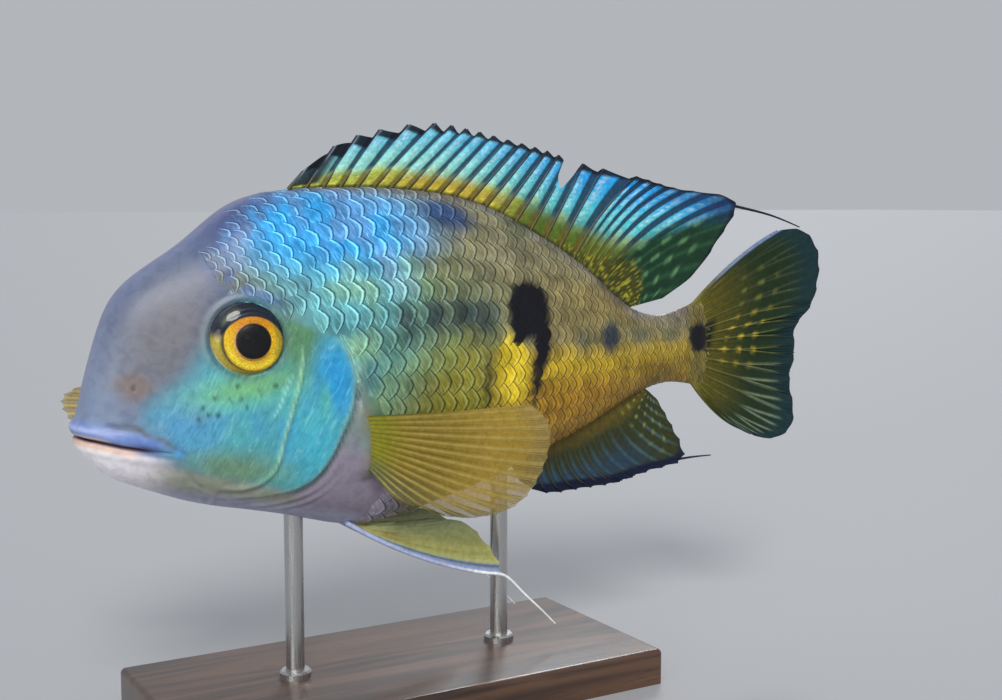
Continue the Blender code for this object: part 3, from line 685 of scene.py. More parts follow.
def paint_trunk(colours, x, y, z):
    """Blue nape and shoulder, olive flank, golden rear, with the bars and the band along the side."""
    cells = value_noise(x * 34, z * 26, 1)
    olive_cells = 0.45 * ramp(cells, 0.5, 0.95)
    speckles = ramp(value_noise(x * 40, z * 30, 2), 0.35, 0.75)
    flecks = ramp(value_noise(x * 95, z * 75, 4), 0.75, 0.40)
    behind_head = ramp(0.055 - (x - scale_front(z)), 0, 0.045) * ramp(z, 0.075, 0.110)
    upper_edge = np.interp(x, (0.5, 0.7, 0.9, 1.0), (0.12, 0.10, 0.06, 0.04))
    near_ridge = ramp(0.030 - np.abs(y), 0, 0.015) * ramp(z, 0.02, 0.06)
    band = ramp(x, 0.400, 0.425) * ramp(0.595 - x, 0, 0.02) * ridge(z - 0.070, 0.026)
    wobble = 0.65 + 0.35 * np.sin(x * 115) * np.sin(z * 130 + 1)
    rear_band = ramp(x, 0.715, 0.745) * ramp(1.02 - x, 0, 0.04) * ridge(z - 0.022, 0.020)
    return wash(
        colours,
        (OLIVE_GOLD, ramp(x, 0.52, 0.80)),
        (FLANK_GREEN, 0.9 * spot(x, z, (0.45, 0.000), (0.13, 0.13), softness=0.7)),
        ((0.290, 0.255, 0.022), 0.85 * spot(x, z, (0.520, -0.035), (0.075, 0.080), 0, 0.7)),
        (GREEN_TEAL, spot(x, z, (0.365, 0.070), (0.090, 0.095), softness=0.7)),
        (SHOULDER_CYAN, 0.85 * spot(x, z, (0.330, 0.130), (0.105, 0.085), 30, 0.6)),
        (NAPE_BLUE, spot(x, z, (0.325, 0.200), (0.150, 0.056), 0, 0.6)),
        ((0.240, 0.360, 0.110), olive_cells * spot(x, z, (0.40, 0.05), (0.13, 0.13), 0, 0.5)),
        ((0.170, 0.220, 0.380), 0.45 * ramp(cells, 0.5, 0.1) * ramp(z, 0.06, 0.14) * ramp(0.52 - x, 0, 0.12)),
        ((0.045, 0.160, 0.190), 0.75 * speckles * spot(x, z, (0.355, 0.025), (0.065, 0.075), 0, 0.6)),
        ((0.065, 0.110, 0.270), 0.85 * behind_head * (0.35 + 0.65 * flecks)),
        ((0.200, 0.190, 0.115), 0.55 * ramp(x, 0.50, 0.62) * ramp(z - upper_edge, 0, 0.05)),
        (GOLD, ramp(x, 0.55, 0.60) * ramp(-z, -0.032, 0.006)),
        (ORANGE, ramp(x, 0.60, 0.68) * ramp(-z, 0.010, 0.060)),
        (RUSSET, 0.75 * ramp(x, 0.74, 0.93) * ramp(-z, -0.020, 0.030)),
        (BELLY, ramp(-z, 0.095, 0.150) * ramp(0.60 - x, 0, 0.12)),
        (MAUVE, ramp(-z, 0.120, 0.165) * ramp(0.47 - x, 0, 0.07)),
        ((0.150, 0.130, 0.150), 0.7 * near_ridge * ramp(x, 0.28, 0.33)),
        (SLATE, 0.95 * band * wobble),
        *[(BAND_DARK, 0.7 * spot(x, z, centre, (0.016, 0.026), -10, 0.8)) for centre in BAND_SPOTS],
        ((0.075, 0.090, 0.065), 0.75 * rear_band * (0.75 + 0.25 * np.sin(x * 95))),
        ((0.020, 0.035, 0.060), 0.85 * spot(x, z, (0.806, 0.026), (0.018, 0.024), 10, 0.4)),
        ((0.012, 0.045, 0.150), 0.9 * spot(x, z, (0.520, 0.214), (0.045, 0.018), 14, 0.5)),
        ((0.030, 0.050, 0.020), 0.5 * spot(x, z, (0.660, 0.200), (0.040, 0.020), -25, 0.4)),
        (BRIGHT_YELLOW, spot(x, z, (0.607, -0.008), (0.030, 0.050), -4, 0.25)),
        *[(BLACK, strength * spot(x, z, centre, size, 0, 0.16)) for centre, size, strength in SIDE_BLOTCH],
        ((0.160, 0.125, 0.022), 0.9 * ramp(x, 0.975, 1.005)),
        (BLACK, spot(x, z, (1.010, 0.012), (0.026, 0.025), 0, 0.3)),
    )


def paint_forehead(colours, x, y, z):
    """Grey forehead with a brown tinge before the eye, violet nape, brown spots at the nostril, and a painted
    rim light along the profile.
    """
    # profile: the top of the head near the middle plane, where a pale lavender rim light is painted
    profile = ramp(0.030 - np.abs(y), 0, 0.022) * ramp(z, -0.050, 0.010)
    return wash(
        colours,
        (FOREHEAD, np.ones_like(x)),
        (SNOUT, ramp(0.13 - x, 0, 0.08) * ramp(0.10 - z, 0, 0.10)),
        (NAPE_VIOLET, ramp(z, 0.13, 0.19) * ramp(x, 0.13, 0.20)),
        ((0.220, 0.205, 0.200), 0.75 * spot(x, z, (0.104, 0.055), (0.052, 0.095), 35, 0.8)),
        *[(BROWN_SPOT, 0.55 * spot(x, z, centre, (0.012, 0.009), 0, 0.8)) for centre in NOSTRIL_SPOTS],
        # painted rim light: pale lavender along the head's profile
        ((0.235, 0.260, 0.410), 0.50 * profile),
    )


def paint_cheek(colours, x, z):
    """Turquoise cheek and gill cover, with green patches, dark specks, pale ridges and a painted shadow
    behind the gill cover's edge.
    """
    on_cheek = ramp(from_line(x, z, CHEEK_FRONT)[0], -0.022, 0.030)
    patches = value_noise(x * 42, z * 30, 3)
    green = ramp(patches, 0.55, 0.35) * ramp(x, 0.245, 0.275) * ramp(-z, -0.02, 0.03) * ramp(z, -0.09, -0.05)
    fold, fold_along = from_line(x, z, CHEEK_RIDGE)
    fading = ramp(fold_along, 0, 0.12) * ramp(0.90 - fold_along, 0, 0.35)
    second, second_along = from_line(x, z, CHEEK_SECOND_RIDGE)
    edge, edge_along = from_line(x, z, GILL_EDGE)
    return wash(
        colours,
        (CHEEK_CYAN, on_cheek),
        (CHEEK_BLUE, 0.85 * on_cheek * spot(x, z, (0.120, -0.040), (0.046, 0.048), 20, 0.9)),
        ((0.070, 0.350, 0.600), 0.55 * on_cheek * ramp(patches, 0.45, 0.8) * ramp(-z, 0.010, 0.050)),
        ((0.175, 0.600, 0.350), 0.75 * spot(x, z, (0.196, -0.012), (0.070, 0.022), -8, 0.8)),
        ((0.190, 0.440, 0.150), 0.65 * spot(x, z, (0.215, -0.006), (0.050, 0.013), -10, 0.8)),
        ((0.190, 0.310, 0.160), 0.85 * on_cheek * spot(x, z, (0.175, -0.120), (0.075, 0.026), 5, 0.7)),
        ((0.110, 0.260, 0.105), 0.90 * spot(x, z, (0.276, 0.056), (0.036, 0.050), 0, 0.7)),
        (GILL_BLUE, 0.95 * spot(x, z, (0.324, -0.002), (0.026, 0.046), -8, 0.7)),
        ((0.110, 0.480, 0.300), 0.6 * green),
        ((0.060, 0.470, 0.640), 0.75 * spot(x, z, (0.298, -0.090), (0.032, 0.050), -18, 0.8)),
        *[(SPECK, 0.75 * spot(x, z, centre, (0.0032, 0.0026), 30, 0.5)) for centre in CHEEK_SPECKS],
        (PALE_GREEN, 0.8 * fading * ridge(fold, 0.0022)),
        ((0.350, 0.850, 0.800), 0.8 * line_ends(second_along, 0.3) * ridge(second, 0.0020)),
        ((0.200, 0.260, 0.260), ramp(edge, 0.000, 0.004) * ramp(0.040 - edge, 0, 0.02)),
        (MAUVE, ramp(edge, 0.000, 0.010) * ramp(-z, 0.070, 0.120)),
        # painted shadow: a dark line just behind the gill cover's edge, in the dip beneath it
        ((0.060, 0.070, 0.075), 0.55 * line_ends(edge_along) * ridge(edge - 0.0048, 0.0030)),
        ((0.380, 0.720, 0.640), 0.85 * line_ends(edge_along) * ridge(edge + 0.0020, 0.0030)),
    )


def paint_jaw(colours, points):
    """Lavender under the head, pale chin, blue and cream lips, and the brown line of the upper jaw, with
    painted highlights on the chin's front and the upper lip and painted shade in the mouth's slit and the
    nostril.
    """
    x, z = points[..., 0], points[..., 2]
    pad, pad_along = from_line(x, z, BREAST_FIN_PAD)
    olive_under = ramp(-z - 0.094 - 0.30 * np.maximum(x - 0.09, 0), 0.0, 0.018) * ramp(0.30 - x, 0, 0.05)
    offset, fade = mouth_offset(points)
    front = ramp(0.060 - x, 0, 0.04)
    jaw_fold, fold_along = from_line(x, z, JAW_FOLD)
    nostril = np.hypot(x - NOSTRIL[0], z - NOSTRIL[1])
    return wash(
        colours,
        ((0.210, 0.190, 0.070), 0.85 * np.sqrt(line_ends(pad_along, 0.3)) * ridge(pad - 0.006, 0.014)),
        ((0.340, 0.350, 0.265), 0.9 * olive_under),
        (JAW_LAVENDER, ramp(-z - 0.118 - 0.24 * np.maximum(x - 0.06, 0), 0.0, 0.022)),
        (CHIN, ramp(-offset, 0.004, 0.010) * ramp(0.128 - x, 0, 0.075)),
        # the chin's pale front, brightened to near white by a painted highlight
        ((0.990, 0.965, 0.970), 0.9 * ramp(-offset, 0.006, 0.016) * front),
        (LIP_BLUE, fade * ridge(offset - LIP_PLACE + 0.001, 0.0100)),
        # painted highlight: pale lavender along the top of the upper lip
        ((0.480, 0.520, 0.760), 0.7 * fade * ridge(offset - 0.0125, 0.0040) * front),
        (LIP_CREAM, fade * ridge(offset + 0.0060, 0.0050) * ramp(0.080 - x, 0, 0.03)),
        ((0.720, 0.560, 0.440), 0.9 * ridge(offset - 0.0028, 0.0026) * ramp(0.040 - x, 0, 0.015)),
        # the mouth's dark red with painted shade in the slit between the lips
        (SLIT_RED, fade * ridge(offset, 0.0026) * ramp(0.100 - x, 0, 0.03)),
        (FOLD_BROWN, 0.65 * line_ends(fold_along, 0.3) * ridge(jaw_fold - 0.001, 0.0028)),
        ((0.090, 0.330, 0.620), 0.9 * spot(x, z, (0.1175, -0.089), (0.0080, 0.0070), 0, 0.8)),
        # painted shade: dark brown in the pit of the nostril
        ((0.050, 0.030, 0.020), 0.6 * ridge(nostril, 0.0028)),
    )


def paint_head(colours, points):
    """The whole head, with a dark rim of painted shade where the skin meets each eye, and then a pale one
    round it.
    """
    x, y, z = points[..., 0], points[..., 1], points[..., 2]
    colours = paint_jaw(paint_cheek(paint_forehead(colours, x, y, z), x, z), points)
    gap = from_eye(points)
    return wash(
        colours,
        # painted shade: a dark rim in the seam where the skin meets the eye
        ((0.050, 0.080, 0.085), 0.7 * ridge(gap - 0.0505, 0.0030)),
        ((0.240, 0.330, 0.310), 0.3 * ridge(gap - 0.0560, 0.0026)),
    )


def markings(points):
    """The colour of skin or scales at places on the fish, with the strength of its fine detail."""
    x, y, z = points[..., 0], points[..., 1], points[..., 2]
    trunk = paint_trunk(OLIVE, x, y, z)
    head = paint_head(trunk, points)
    edge, _ = from_line(x, z, GILL_EDGE)
    front = scale_front(z)
    on_trunk = ramp(x - front, -0.018, 0.012)
    colours = head * (1 - on_trunk[..., None]) + trunk * on_trunk[..., None]
    cheek, _ = from_line(x, z, CHEEK_FRONT)
    detail = ramp(cheek, 0.0, 0.02) * (1 - ramp(edge, -0.004, 0.002)) * (1 - on_trunk)
    return with_fourth(colours, detail)


# The shine of wet skin, and of the thin clear slime over it
SKIN_GLOSS = {"Specular_IOR_Level": 0.26, "Coat_Weight": 0.06, "Coat_Roughness": 0.25}


def read_markings(tree):
    """The stored markings: their colour and their fourth number."""
    stored = add_node(tree, "ShaderNodeAttribute", settings={"attribute_name": "Markings"})
    return stored.outputs["Color"], stored.outputs["Alpha"]


def brighten(tree, colour, shade):
    """A colour made brighter or darker by a number."""
    scaled = {"operation": "SCALE"}
    return add_node(tree, "ShaderNodeVectorMath", colour, Scale=shade, settings=scaled).outputs[0]


def skin_finish():
    """Wet skin: soft mottling, fine pores, and pale streaks along the cheek."""
    finish, tree, shader = new_finish("wet_skin")
    colour, detail = read_markings(tree)
    mottling = noise(tree, object_place(tree), 520, 5.0, 0.4)
    grains = noise(tree, object_place(tree), 2600, 3.0)
    streaks = noise(tree, object_place(tree, (1250, 500, 300), (0, math.radians(-26), 0)), 1.0, 5.0, 1.2)
    darker = blend_colours(tree, 1.0, colour, (0.82, 0.83, 0.87, 1), "MULTIPLY")
    shaded = blend_colours(tree, stretch_range(tree, mottling, 0.30, 0.62), darker, colour)
    pale = blend_colours(tree, 1.0, colour, (0.22, 0.30, 0.22, 1), "ADD")
    pale_share = product(tree, stretch_range(tree, streaks, 0.54, 0.70), detail)
    dark_share = product(tree, stretch_range(tree, streaks, 0.47, 0.34), detail)
    dark = blend_colours(tree, 1.0, colour, (0.45, 0.55, 0.50, 1), "MULTIPLY")
    shaded = blend_colours(tree, product(tree, pale_share, 0.32), shaded, pale)
    shaded = blend_colours(tree, product(tree, dark_share, 0.35), shaded, dark)
    relief = calculate(tree, "ADD", product(tree, grains, 0.35), product(tree, streaks, detail))
    feed(
        shader, Base_Color=shaded, Roughness=stretch_range(tree, mottling, 0.2, 0.8, 0.30, 0.44),
        Normal=bump(tree, relief, 0.00012, 0.7), **SKIN_GLOSS,
    )
    return finish


def lay_unwrap(mesh, name, places):
    """Unwraps a mesh by the place of each of its vertices on the unwrapped sheet."""
    corners = np.empty(len(mesh.loops), np.int32)
    mesh.loops.foreach_get("vertex_index", corners)
    mesh.uv_layers.new(name=name).uv.foreach_set("vector", places[corners].ravel())


FLESH = ("head", "upper_lip", "lower_jaw", "gill_cover_left", "gill_cover_right", "trunk", "tail_stalk")


def make_skin():
    grid, tip, end = skin_grid()
    points = np.concatenate([tip[None], grid.reshape(-1, 3), end[None]])
    faces = tube_faces(SKIN_RINGS, SKIN_SIDES, 1)
    last_ring = 1 + (SKIN_RINGS - 1) * SKIN_SIDES
    for side in range(SKIN_SIDES):
        after = (side + 1) % SKIN_SIDES
        faces.append([0, 1 + after, 1 + side])
        faces.append([len(points) - 1, last_ring + side, last_ring + after])
    skin = new_piece("skin", place(points), faces, skin_finish(), markings(points))
    rings = np.repeat(np.arange(SKIN_RINGS) / (SKIN_RINGS - 1), SKIN_SIDES)
    sides = np.tile(np.arange(SKIN_SIDES) / SKIN_SIDES, SKIN_RINGS)
    unwrap = np.concatenate([[(0.0, 0.5)], np.stack([rings, sides], axis=1), [(1.0, 0.5)]])
    lay_unwrap(skin.data, "Unwrap", unwrap)
    finish_piece(skin, "head_skin", *FLESH)


make_skin()


# Scales: some twelve hundred thin horny plates, laid in slanting rows like roof tiles, each rooted in
# the skin with its rear edge free. The rows are laid out flat, as on an unrolled skin, then wrapped on.
SIDE_LINE = ((0.10, 0.030), (0.36, 0.014), (0.60, 0.013), (0.80, 0.006), (1.00, 0.000))
SCALE_SPACING = (
    (0.14, 0.0095), (0.20, 0.0130), (0.27, 0.0185), (0.35, 0.0215), (0.50, 0.0200), (0.62, 0.0170),
    (0.75, 0.0148), (1.00, 0.0125),
)
ROW_SPACING = (
    (0.14, 0.0140), (0.20, 0.0180), (0.26, 0.0245), (0.32, 0.0300), (0.40, 0.0318), (0.50, 0.0312),
    (0.65, 0.0272), (0.80, 0.0222), (0.92, 0.0195), (1.00, 0.0190),
)
FULL_ROW = 0.0315
SCALE_HALF_HEIGHT = 0.0270
SCALE_LENGTH = 0.0435
SCALE_UPPER_ARC, SCALE_LOWER_ARC = 0.0240, 0.0245
SCALE_THICKNESS = 0.0011
SCALE_ROOT_LIFT, SCALE_EDGE_LIFT = -0.0012, 0.0021
SCALE_TURN = math.radians(12)
SCALE_COLUMNS, SCALE_RINGS = 8, 3
SCALES_START, SCALES_END = 0.14, 1.012
SCALE_ROWS = range(-13, 16)
FULL_STEP = 0.0222
SCALE_SHARP_ANGLE = math.radians(42)
BAKE_PATCH = 0.003
UNROLL_STEPS = 400
UNROLL_START, UNROLL_END, UNROLL_REACH = 0.10, 1.03, 0.36
SIDES = (("left", -1), ("right", 1))


def unrolled_side():
    """For each x, the angle round the body at each distance above or below the line along its side."""
    places = np.linspace(UNROLL_START, UNROLL_END, UNROLL_STEPS)
    angles = np.linspace(0.0, math.pi, 600)
    heights = np.linspace(-UNROLL_REACH, UNROLL_REACH, UNROLL_STEPS)
    table = np.empty((UNROLL_STEPS, UNROLL_STEPS))
    for row, x in enumerate(places):
        outline = section_points(np.full_like(angles, distance_along(x)), angles)
        steps = np.linalg.norm(np.diff(outline, axis=0), axis=1)
        down = np.concatenate([[0.0], np.cumsum(steps)])
        side_height = np.interp(x, *zip(*SIDE_LINE))
        middle = np.interp(-side_height, -outline[:, 2], down)
        table[row] = np.interp(middle - heights, down, angles)
    return table


UNROLLED = unrolled_side()


def side_angle(x, t):
    """The angle round the body at places on the unrolled side: x back, t up from the line along it."""
    row = np.clip((x - UNROLL_START) / (UNROLL_END - UNROLL_START), 0, 1) * (UNROLL_STEPS - 1)
    column = np.clip((t + UNROLL_REACH) / (2 * UNROLL_REACH), 0, 1) * (UNROLL_STEPS - 1)
    r = np.minimum(row.astype(int), UNROLL_STEPS - 2)
    c = np.minimum(column.astype(int), UNROLL_STEPS - 2)
    down, across = row - r, column - c
    near = UNROLLED[r, c] * (1 - across) + UNROLLED[r, c + 1] * across
    far = UNROLLED[r + 1, c] * (1 - across) + UNROLLED[r + 1, c + 1] * across
    return near * (1 - down) + far * down


def wrap(flat, side):
    """Moves places of a flat sheet, (x, t, height over the skin), onto one side of the fish."""
    x, t, lift = flat[:, 0], flat[:, 1], flat[:, 2]
    along = distance_along(x)
    angle = side_angle(x, t)
    small = 0.004
    plain = section_points(along, angle)
    ahead = section_points(along + small, angle) - section_points(along - small, angle)
    around = section_points(along, angle + small) - section_points(along, angle - small)
    normal = np.cross(around, ahead)
    normal /= np.maximum(np.linalg.norm(normal, axis=1, keepdims=True), 1e-12)
    points = plain + normal * (coat_inset(x) + lift)[:, None]
    return points * (1, -side, 1)


def sheet_faces(numbers):
    """Faces of a sheet from a grid of its places' numbers."""
    quads = np.stack([numbers[:-1, :-1], numbers[1:, :-1], numbers[1:, 1:], numbers[:-1, 1:]], axis=-1)
    return quads.reshape(-1, 4)


def scale_shape():
    """One scale, lying flat: its domed face, its edge and its underside."""
    across = np.linspace(-1, 1, SCALE_COLUMNS + 1)
    back = np.linspace(0, 1, SCALE_RINGS + 1) ** 0.8
    upper, lower = SCALE_UPPER_ARC * np.abs(across) ** 1.35, SCALE_LOWER_ARC * np.abs(across) ** 1.8
    reach = SCALE_LENGTH - np.where(across > 0, upper, lower)
    grid = np.empty((SCALE_RINGS + 1, SCALE_COLUMNS + 1, 3))
    grid[..., 0] = back[:, None] * reach
    grid[..., 1] = across * SCALE_HALF_HEIGHT
    grid[..., 2] = SCALE_ROOT_LIFT + (SCALE_EDGE_LIFT - SCALE_ROOT_LIFT) * grid[..., 0] / reach.max()
    grid[..., 2] -= 0.0007 * across**2 + 0.0004 * back[:, None] ** 8
    numbers = np.arange(grid[..., 0].size).reshape(grid.shape[:2])
    outline = np.concatenate([numbers[0, :-1], numbers[:-1, -1], numbers[-1, :0:-1], numbers[:0:-1, 0]])
    top = grid.reshape(-1, 3)
    under = top[outline] - (0, 0, SCALE_THICKNESS)
    lower = len(top) + np.arange(len(outline))
    wall = np.stack([outline, np.roll(outline, -1), np.roll(lower, -1), lower], axis=-1)
    faces = np.concatenate([sheet_faces(numbers), wall]).tolist() + [lower[::-1].tolist()]
    mesh = bpy.data.meshes.new("scale_shape")
    mesh.from_pydata(np.concatenate([top, under]).tolist(), [], faces)
    face_place = np.concatenate([
        stacked(across / 2 + 0.5, back[:, None]).reshape(-1, 2),
        stacked(top[outline][:, 1] / SCALE_HALF_HEIGHT / 2 + 0.5, 1.0),
    ])
    lay_unwrap(mesh, "ScaleFace", face_place)
    return bpy.data.objects.new("scale_shape", mesh)


def scale_roots():
    """Where the scales of one side are rooted on the flat sheet: x, t, turn and size of each."""
    found = []
    for row in SCALE_ROWS:
        x = SCALES_START
        half_step = row % 2
        while x < SCALES_END:
            step = float(np.interp(x, *zip(*SCALE_SPACING)))
            x_here = x + half_step * step / 2
            height = row * float(np.interp(x_here, *zip(*ROW_SPACING)))
            ahead = row * float(np.interp(x_here + 0.01, *zip(*ROW_SPACING)))
            slope = math.atan2(ahead - height, 0.01)
            point = wrap(np.array([[x_here + 0.02, height, 0.0]]), -1)[0]
            angle = float(side_angle(np.array([x_here]), np.array([height]))[0])
            margin = 0.055 if row > 0 else 0.02
            inside = scale_front(point[2]) < x_here + 0.6 * SCALE_LENGTH * step / FULL_STEP
            if inside and margin < angle < math.pi - margin:
                ahead_of_tail = 0.55 + 0.45 * ramp(0.80 - x_here, 0, 0.3)
                turn = 0.6 * slope + SCALE_TURN * ramp(height, -0.02, 0.08) * ahead_of_tail
                size = float(np.interp(x_here, *zip(*ROW_SPACING))) / FULL_ROW
                found.append((x_here, height, turn, size))
            x += step
    return np.array(found)


def group_inputs(tree, *wanted):
    """Adds the named inputs of a node tree. It gives their identifiers and the sockets they feed from."""
    sockets = {
        name: tree.interface.new_socket(name, in_out="INPUT", socket_type=f"NodeSocket{kind}").identifier
        for name, kind in wanted
    }
    return sockets, add_node(tree, "NodeGroupInput").outputs


def end_tree(tree, name, geometry, finish):
    """Ends a node tree: what it made gets its material and goes out under a name."""
    tree.interface.new_socket(name, in_out="OUTPUT", socket_type="NodeSocketGeometry")
    covered = add_node(tree, "GeometryNodeSetMaterial", geometry, Material=finish)
    add_node(tree, "NodeGroupOutput", covered.outputs["Geometry"])


def stored_on(tree, name, kind="FLOAT_VECTOR"):
    """A value stored on the points or corners of the geometry."""
    made = add_node(tree, "GeometryNodeInputNamedAttribute", settings={"data_type": kind}, Name=name)
    return made.outputs["Attribute"]


def vector_sum(tree, operation, *feeds, **inputs):
    """The result of one sum on vectors."""
    made = add_node(tree, "ShaderNodeVectorMath", *feeds, settings={"operation": operation}, **inputs)
    return made.outputs[0]


def read_rows(store, name, width):
    """Numbers read from a mesh, with a row for each of its places."""
    numbers = np.empty(len(store) * width)
    store.foreach_get(name, numbers)
    return numbers.reshape(-1, width)


def grow(name, mesh, tree, sockets, **inputs):
    """The plain mesh that a node tree makes of a mesh."""
    holder = new_object(name, mesh)
    maker = holder.modifiers.new(name, "NODES")
    maker.node_group = tree
    for wanted, value in inputs.items():
        maker[sockets[wanted.replace("_", " ")]] = value
    graph = bpy.context.evaluated_depsgraph_get()
    made = bpy.data.meshes.new_from_object(holder.evaluated_get(graph), depsgraph=graph)
    bpy.data.objects.remove(holder)
    return made


def scale_layer():
    """The node tree that sets a scale on every root and makes them one mesh."""
    tree = bpy.data.node_groups.new("lay_scales", "GeometryNodeTree")
    sockets, given = group_inputs(
        tree, ("Roots", "Geometry"), ("Scale", "Object"), ("Scale Size", "Float"), ("Bake Patch", "Float"),
        ("Finish", "Material"),
    )
    shape = add_node(tree, "GeometryNodeObjectInfo", Object=given["Scale"], As_Instance=True)
    full_size = product(tree, stored_on(tree, "Size", "FLOAT"), given["Scale Size"])
    laid = add_node(
        tree, "GeometryNodeInstanceOnPoints", Points=given["Roots"], Instance=shape.outputs["Geometry"],
        Rotation=stored_on(tree, "Turn"), Scale=full_size,
    )
    joined = add_node(tree, "GeometryNodeRealizeInstances", laid.outputs["Instances"])
    centred = vector_sum(tree, "SUBTRACT", stored_on(tree, "ScaleFace"), (0.5, 0.5, 0.0))
    patch = vector_sum(tree, "SCALE", centred, Scale=given["Bake Patch"])
    stored = add_node(
        tree, "GeometryNodeStoreNamedAttribute", joined.outputs["Geometry"],
        settings={"data_type": "FLOAT2", "domain": "CORNER"}, Name="OFBake",
        Value=vector_sum(tree, "ADD", stored_on(tree, "RootUnwrap"), patch),
    )
    end_tree(tree, "Scales", stored.outputs["Geometry"], given["Finish"])
    return tree, sockets


def scale_finish():
    """Pearly scales: brushed faces with painted shade towards the free edge, a painted highlight streak low
    on the face, and a pale painted highlight line then a thin dark painted shade line along the free edge.
    """
    finish, tree, shader = new_finish("pearly_scales")
    # gleam, the markings' fourth number, is how strong the painted highlights are on the scale
    colour, gleam = read_markings(tree)
    face = add_node(tree, "ShaderNodeUVMap", settings={"uv_map": "ScaleFace"}).outputs["UV"]
    split = add_node(tree, "ShaderNodeSeparateXYZ", face).outputs
    across, back = split["X"], split["Y"]
    grain = noise(tree, object_place(tree), 1900, 3.0, 0.3)
    cloud = noise(tree, object_place(tree), 190, 4.0, 0.5)
    brushed = noise(tree, object_place(tree, (2600, 900, 420), (0, math.radians(28), 0)), 1.0, 3.0, 0.4)
    # painted shade: each scale is coloured darker from its middle towards its free edge
    shade = stretch_range(tree, back, 0.40, 0.95, 1.16, 0.88)
    shade = product(tree, shade, stretch_range(tree, brushed, 0.25, 0.75, 0.70, 1.32))
    shade = product(tree, shade, stretch_range(tree, cloud, 0.30, 0.70, 0.80, 1.20))
    tint = brighten(tree, colour, shade)
    wave = calculate(tree, "SUBTRACT", grain, 0.5)
    wavy = calculate(tree, "ADD", back, product(tree, wave, 0.07))
    # pale is the colour of the painted highlights: the markings' colour doubled, with a pale cyan tint added
    pale = blend_colours(tree, 1.0, colour, (0.10, 0.19, 0.18, 1), "ADD")
    pale = blend_colours(tree, 1.0, pale, colour, "ADD")
    # a pale line of painted highlight just inside the free edge
    line_end = stretch_range(tree, wavy, 0.945, 0.90)
    line = product(tree, stretch_range(tree, wavy, 0.80, 0.87), line_end)
    line = product(tree, line, stretch_range(tree, cloud, 0.35, 0.55, 0.25, 1.0))
    tint = blend_colours(tree, product(tree, line, gleam), tint, pale)
    # a painted highlight streak over the lower half of each scale's face
    low = stretch_range(tree, across, 0.55, 0.25)
    painted_highlight_streak = product(tree, low, stretch_range(tree, brushed, 0.52, 0.66))
    painted_highlight_streak = product(tree, painted_highlight_streak, product(tree, gleam, 0.55))
    tint = blend_colours(tree, painted_highlight_streak, tint, pale)
    # a thin dark line of painted shade along the free edge, where it lies over the next scale
    edge = stretch_range(tree, wavy, 0.925, 0.965)
    dark = blend_colours(tree, 1.0, colour, (0.08, 0.11, 0.20, 1), "MULTIPLY")
    tint = blend_colours(tree, product(tree, edge, 0.75), tint, dark)
    relief = calculate(tree, "ADD", product(tree, brushed, 0.8), grain)
    feed(
        shader, Base_Color=tint, Roughness=stretch_range(tree, brushed, 0.2, 0.8, 0.30, 0.46),
        Normal=bump(tree, relief, 0.00005, 0.5), **SKIN_GLOSS,
    )
    return finish


def make_scales(name, side, tree, sockets, shape, finish):
    """The scales of one side: laid flat by the tree, wrapped on the fish, then coloured."""
    roots = scale_roots()
    sheet = bpy.data.meshes.new(f"scale_roots_{name}")
    sheet.from_pydata([(x, t, 0.0) for x, t, _, _ in roots.tolist()], [], [])
    turns = stacked(0, 0, roots[:, 2])
    sheet.attributes.new("Turn", "FLOAT_VECTOR", "POINT").data.foreach_set("vector", turns.ravel())
    sheet.attributes.new("Size", "FLOAT", "POINT").data.foreach_set("value", roots[:, 3])
    angle = side_angle(roots[:, 0], roots[:, 1]) / (2 * math.pi)
    around = angle if side < 0 else 1 - angle
    unwrap = stacked(distance_along(roots[:, 0]) / SKIN_END, around, 0)
    sheet.attributes.new("RootUnwrap", "FLOAT_VECTOR", "POINT").data.foreach_set("vector", unwrap.ravel())
    mesh = grow(
        f"scale_roots_{name}", sheet, tree, sockets,
        Scale=shape, Scale_Size=1.0, Bake_Patch=BAKE_PATCH, Finish=finish,
    )

    owner = read_rows(mesh.attributes["RootUnwrap"].data, "vector", 3)
    points = wrap(read_rows(mesh.vertices, "co", 3), side)
    per_scale = len(points) // len(roots)
    middles = np.repeat(points.reshape(len(roots), per_scale, 3).mean(axis=1), per_scale, axis=0)
    tone = 0.5 + 0.5 * np.sin(owner[:, 0] * 5179.0 + owner[:, 1] * 3313.0)
    colours = markings(0.75 * points + 0.25 * middles)
    colours[:, :3] *= (0.86 + 0.28 * tone)[:, None]
    x, z = middles[:, 0], middles[:, 2]
    # the fourth number on the scales is the strength of their painted highlights: none on dark colours,
    # strongest high on the front of the body
    bright = ramp(colours[:, :3].max(axis=1), 0.03, 0.14)
    colours[:, 3] = bright * (0.30 + 0.70 * ramp(0.54 - x, 0, 0.14) * ramp(z, 0.0, 0.10))
    lay_colours(mesh, colours)
    mesh.vertices.foreach_set("co", place(points).ravel())
    for leftover in ("Turn", "Size", "RootUnwrap"):
        if leftover in mesh.attributes:
            mesh.attributes.remove(mesh.attributes[leftover])
    if side > 0:
        mesh.flip_normals()
    mesh.shade_smooth()
    mesh.set_sharp_from_angle(angle=SCALE_SHARP_ANGLE)
    mesh.name = f"scales_{name}"
    finish_piece(new_object(f"scales_{name}", mesh), "body_scales", "trunk", "tail_stalk")


def coat_scales():
    tree, sockets = scale_layer()
    shape = scale_shape()
    finish = scale_finish()
    for name, side in SIDES:
        make_scales(name, side, tree, sockets, shape, finish)
    bpy.data.objects.remove(shape)


coat_scales()


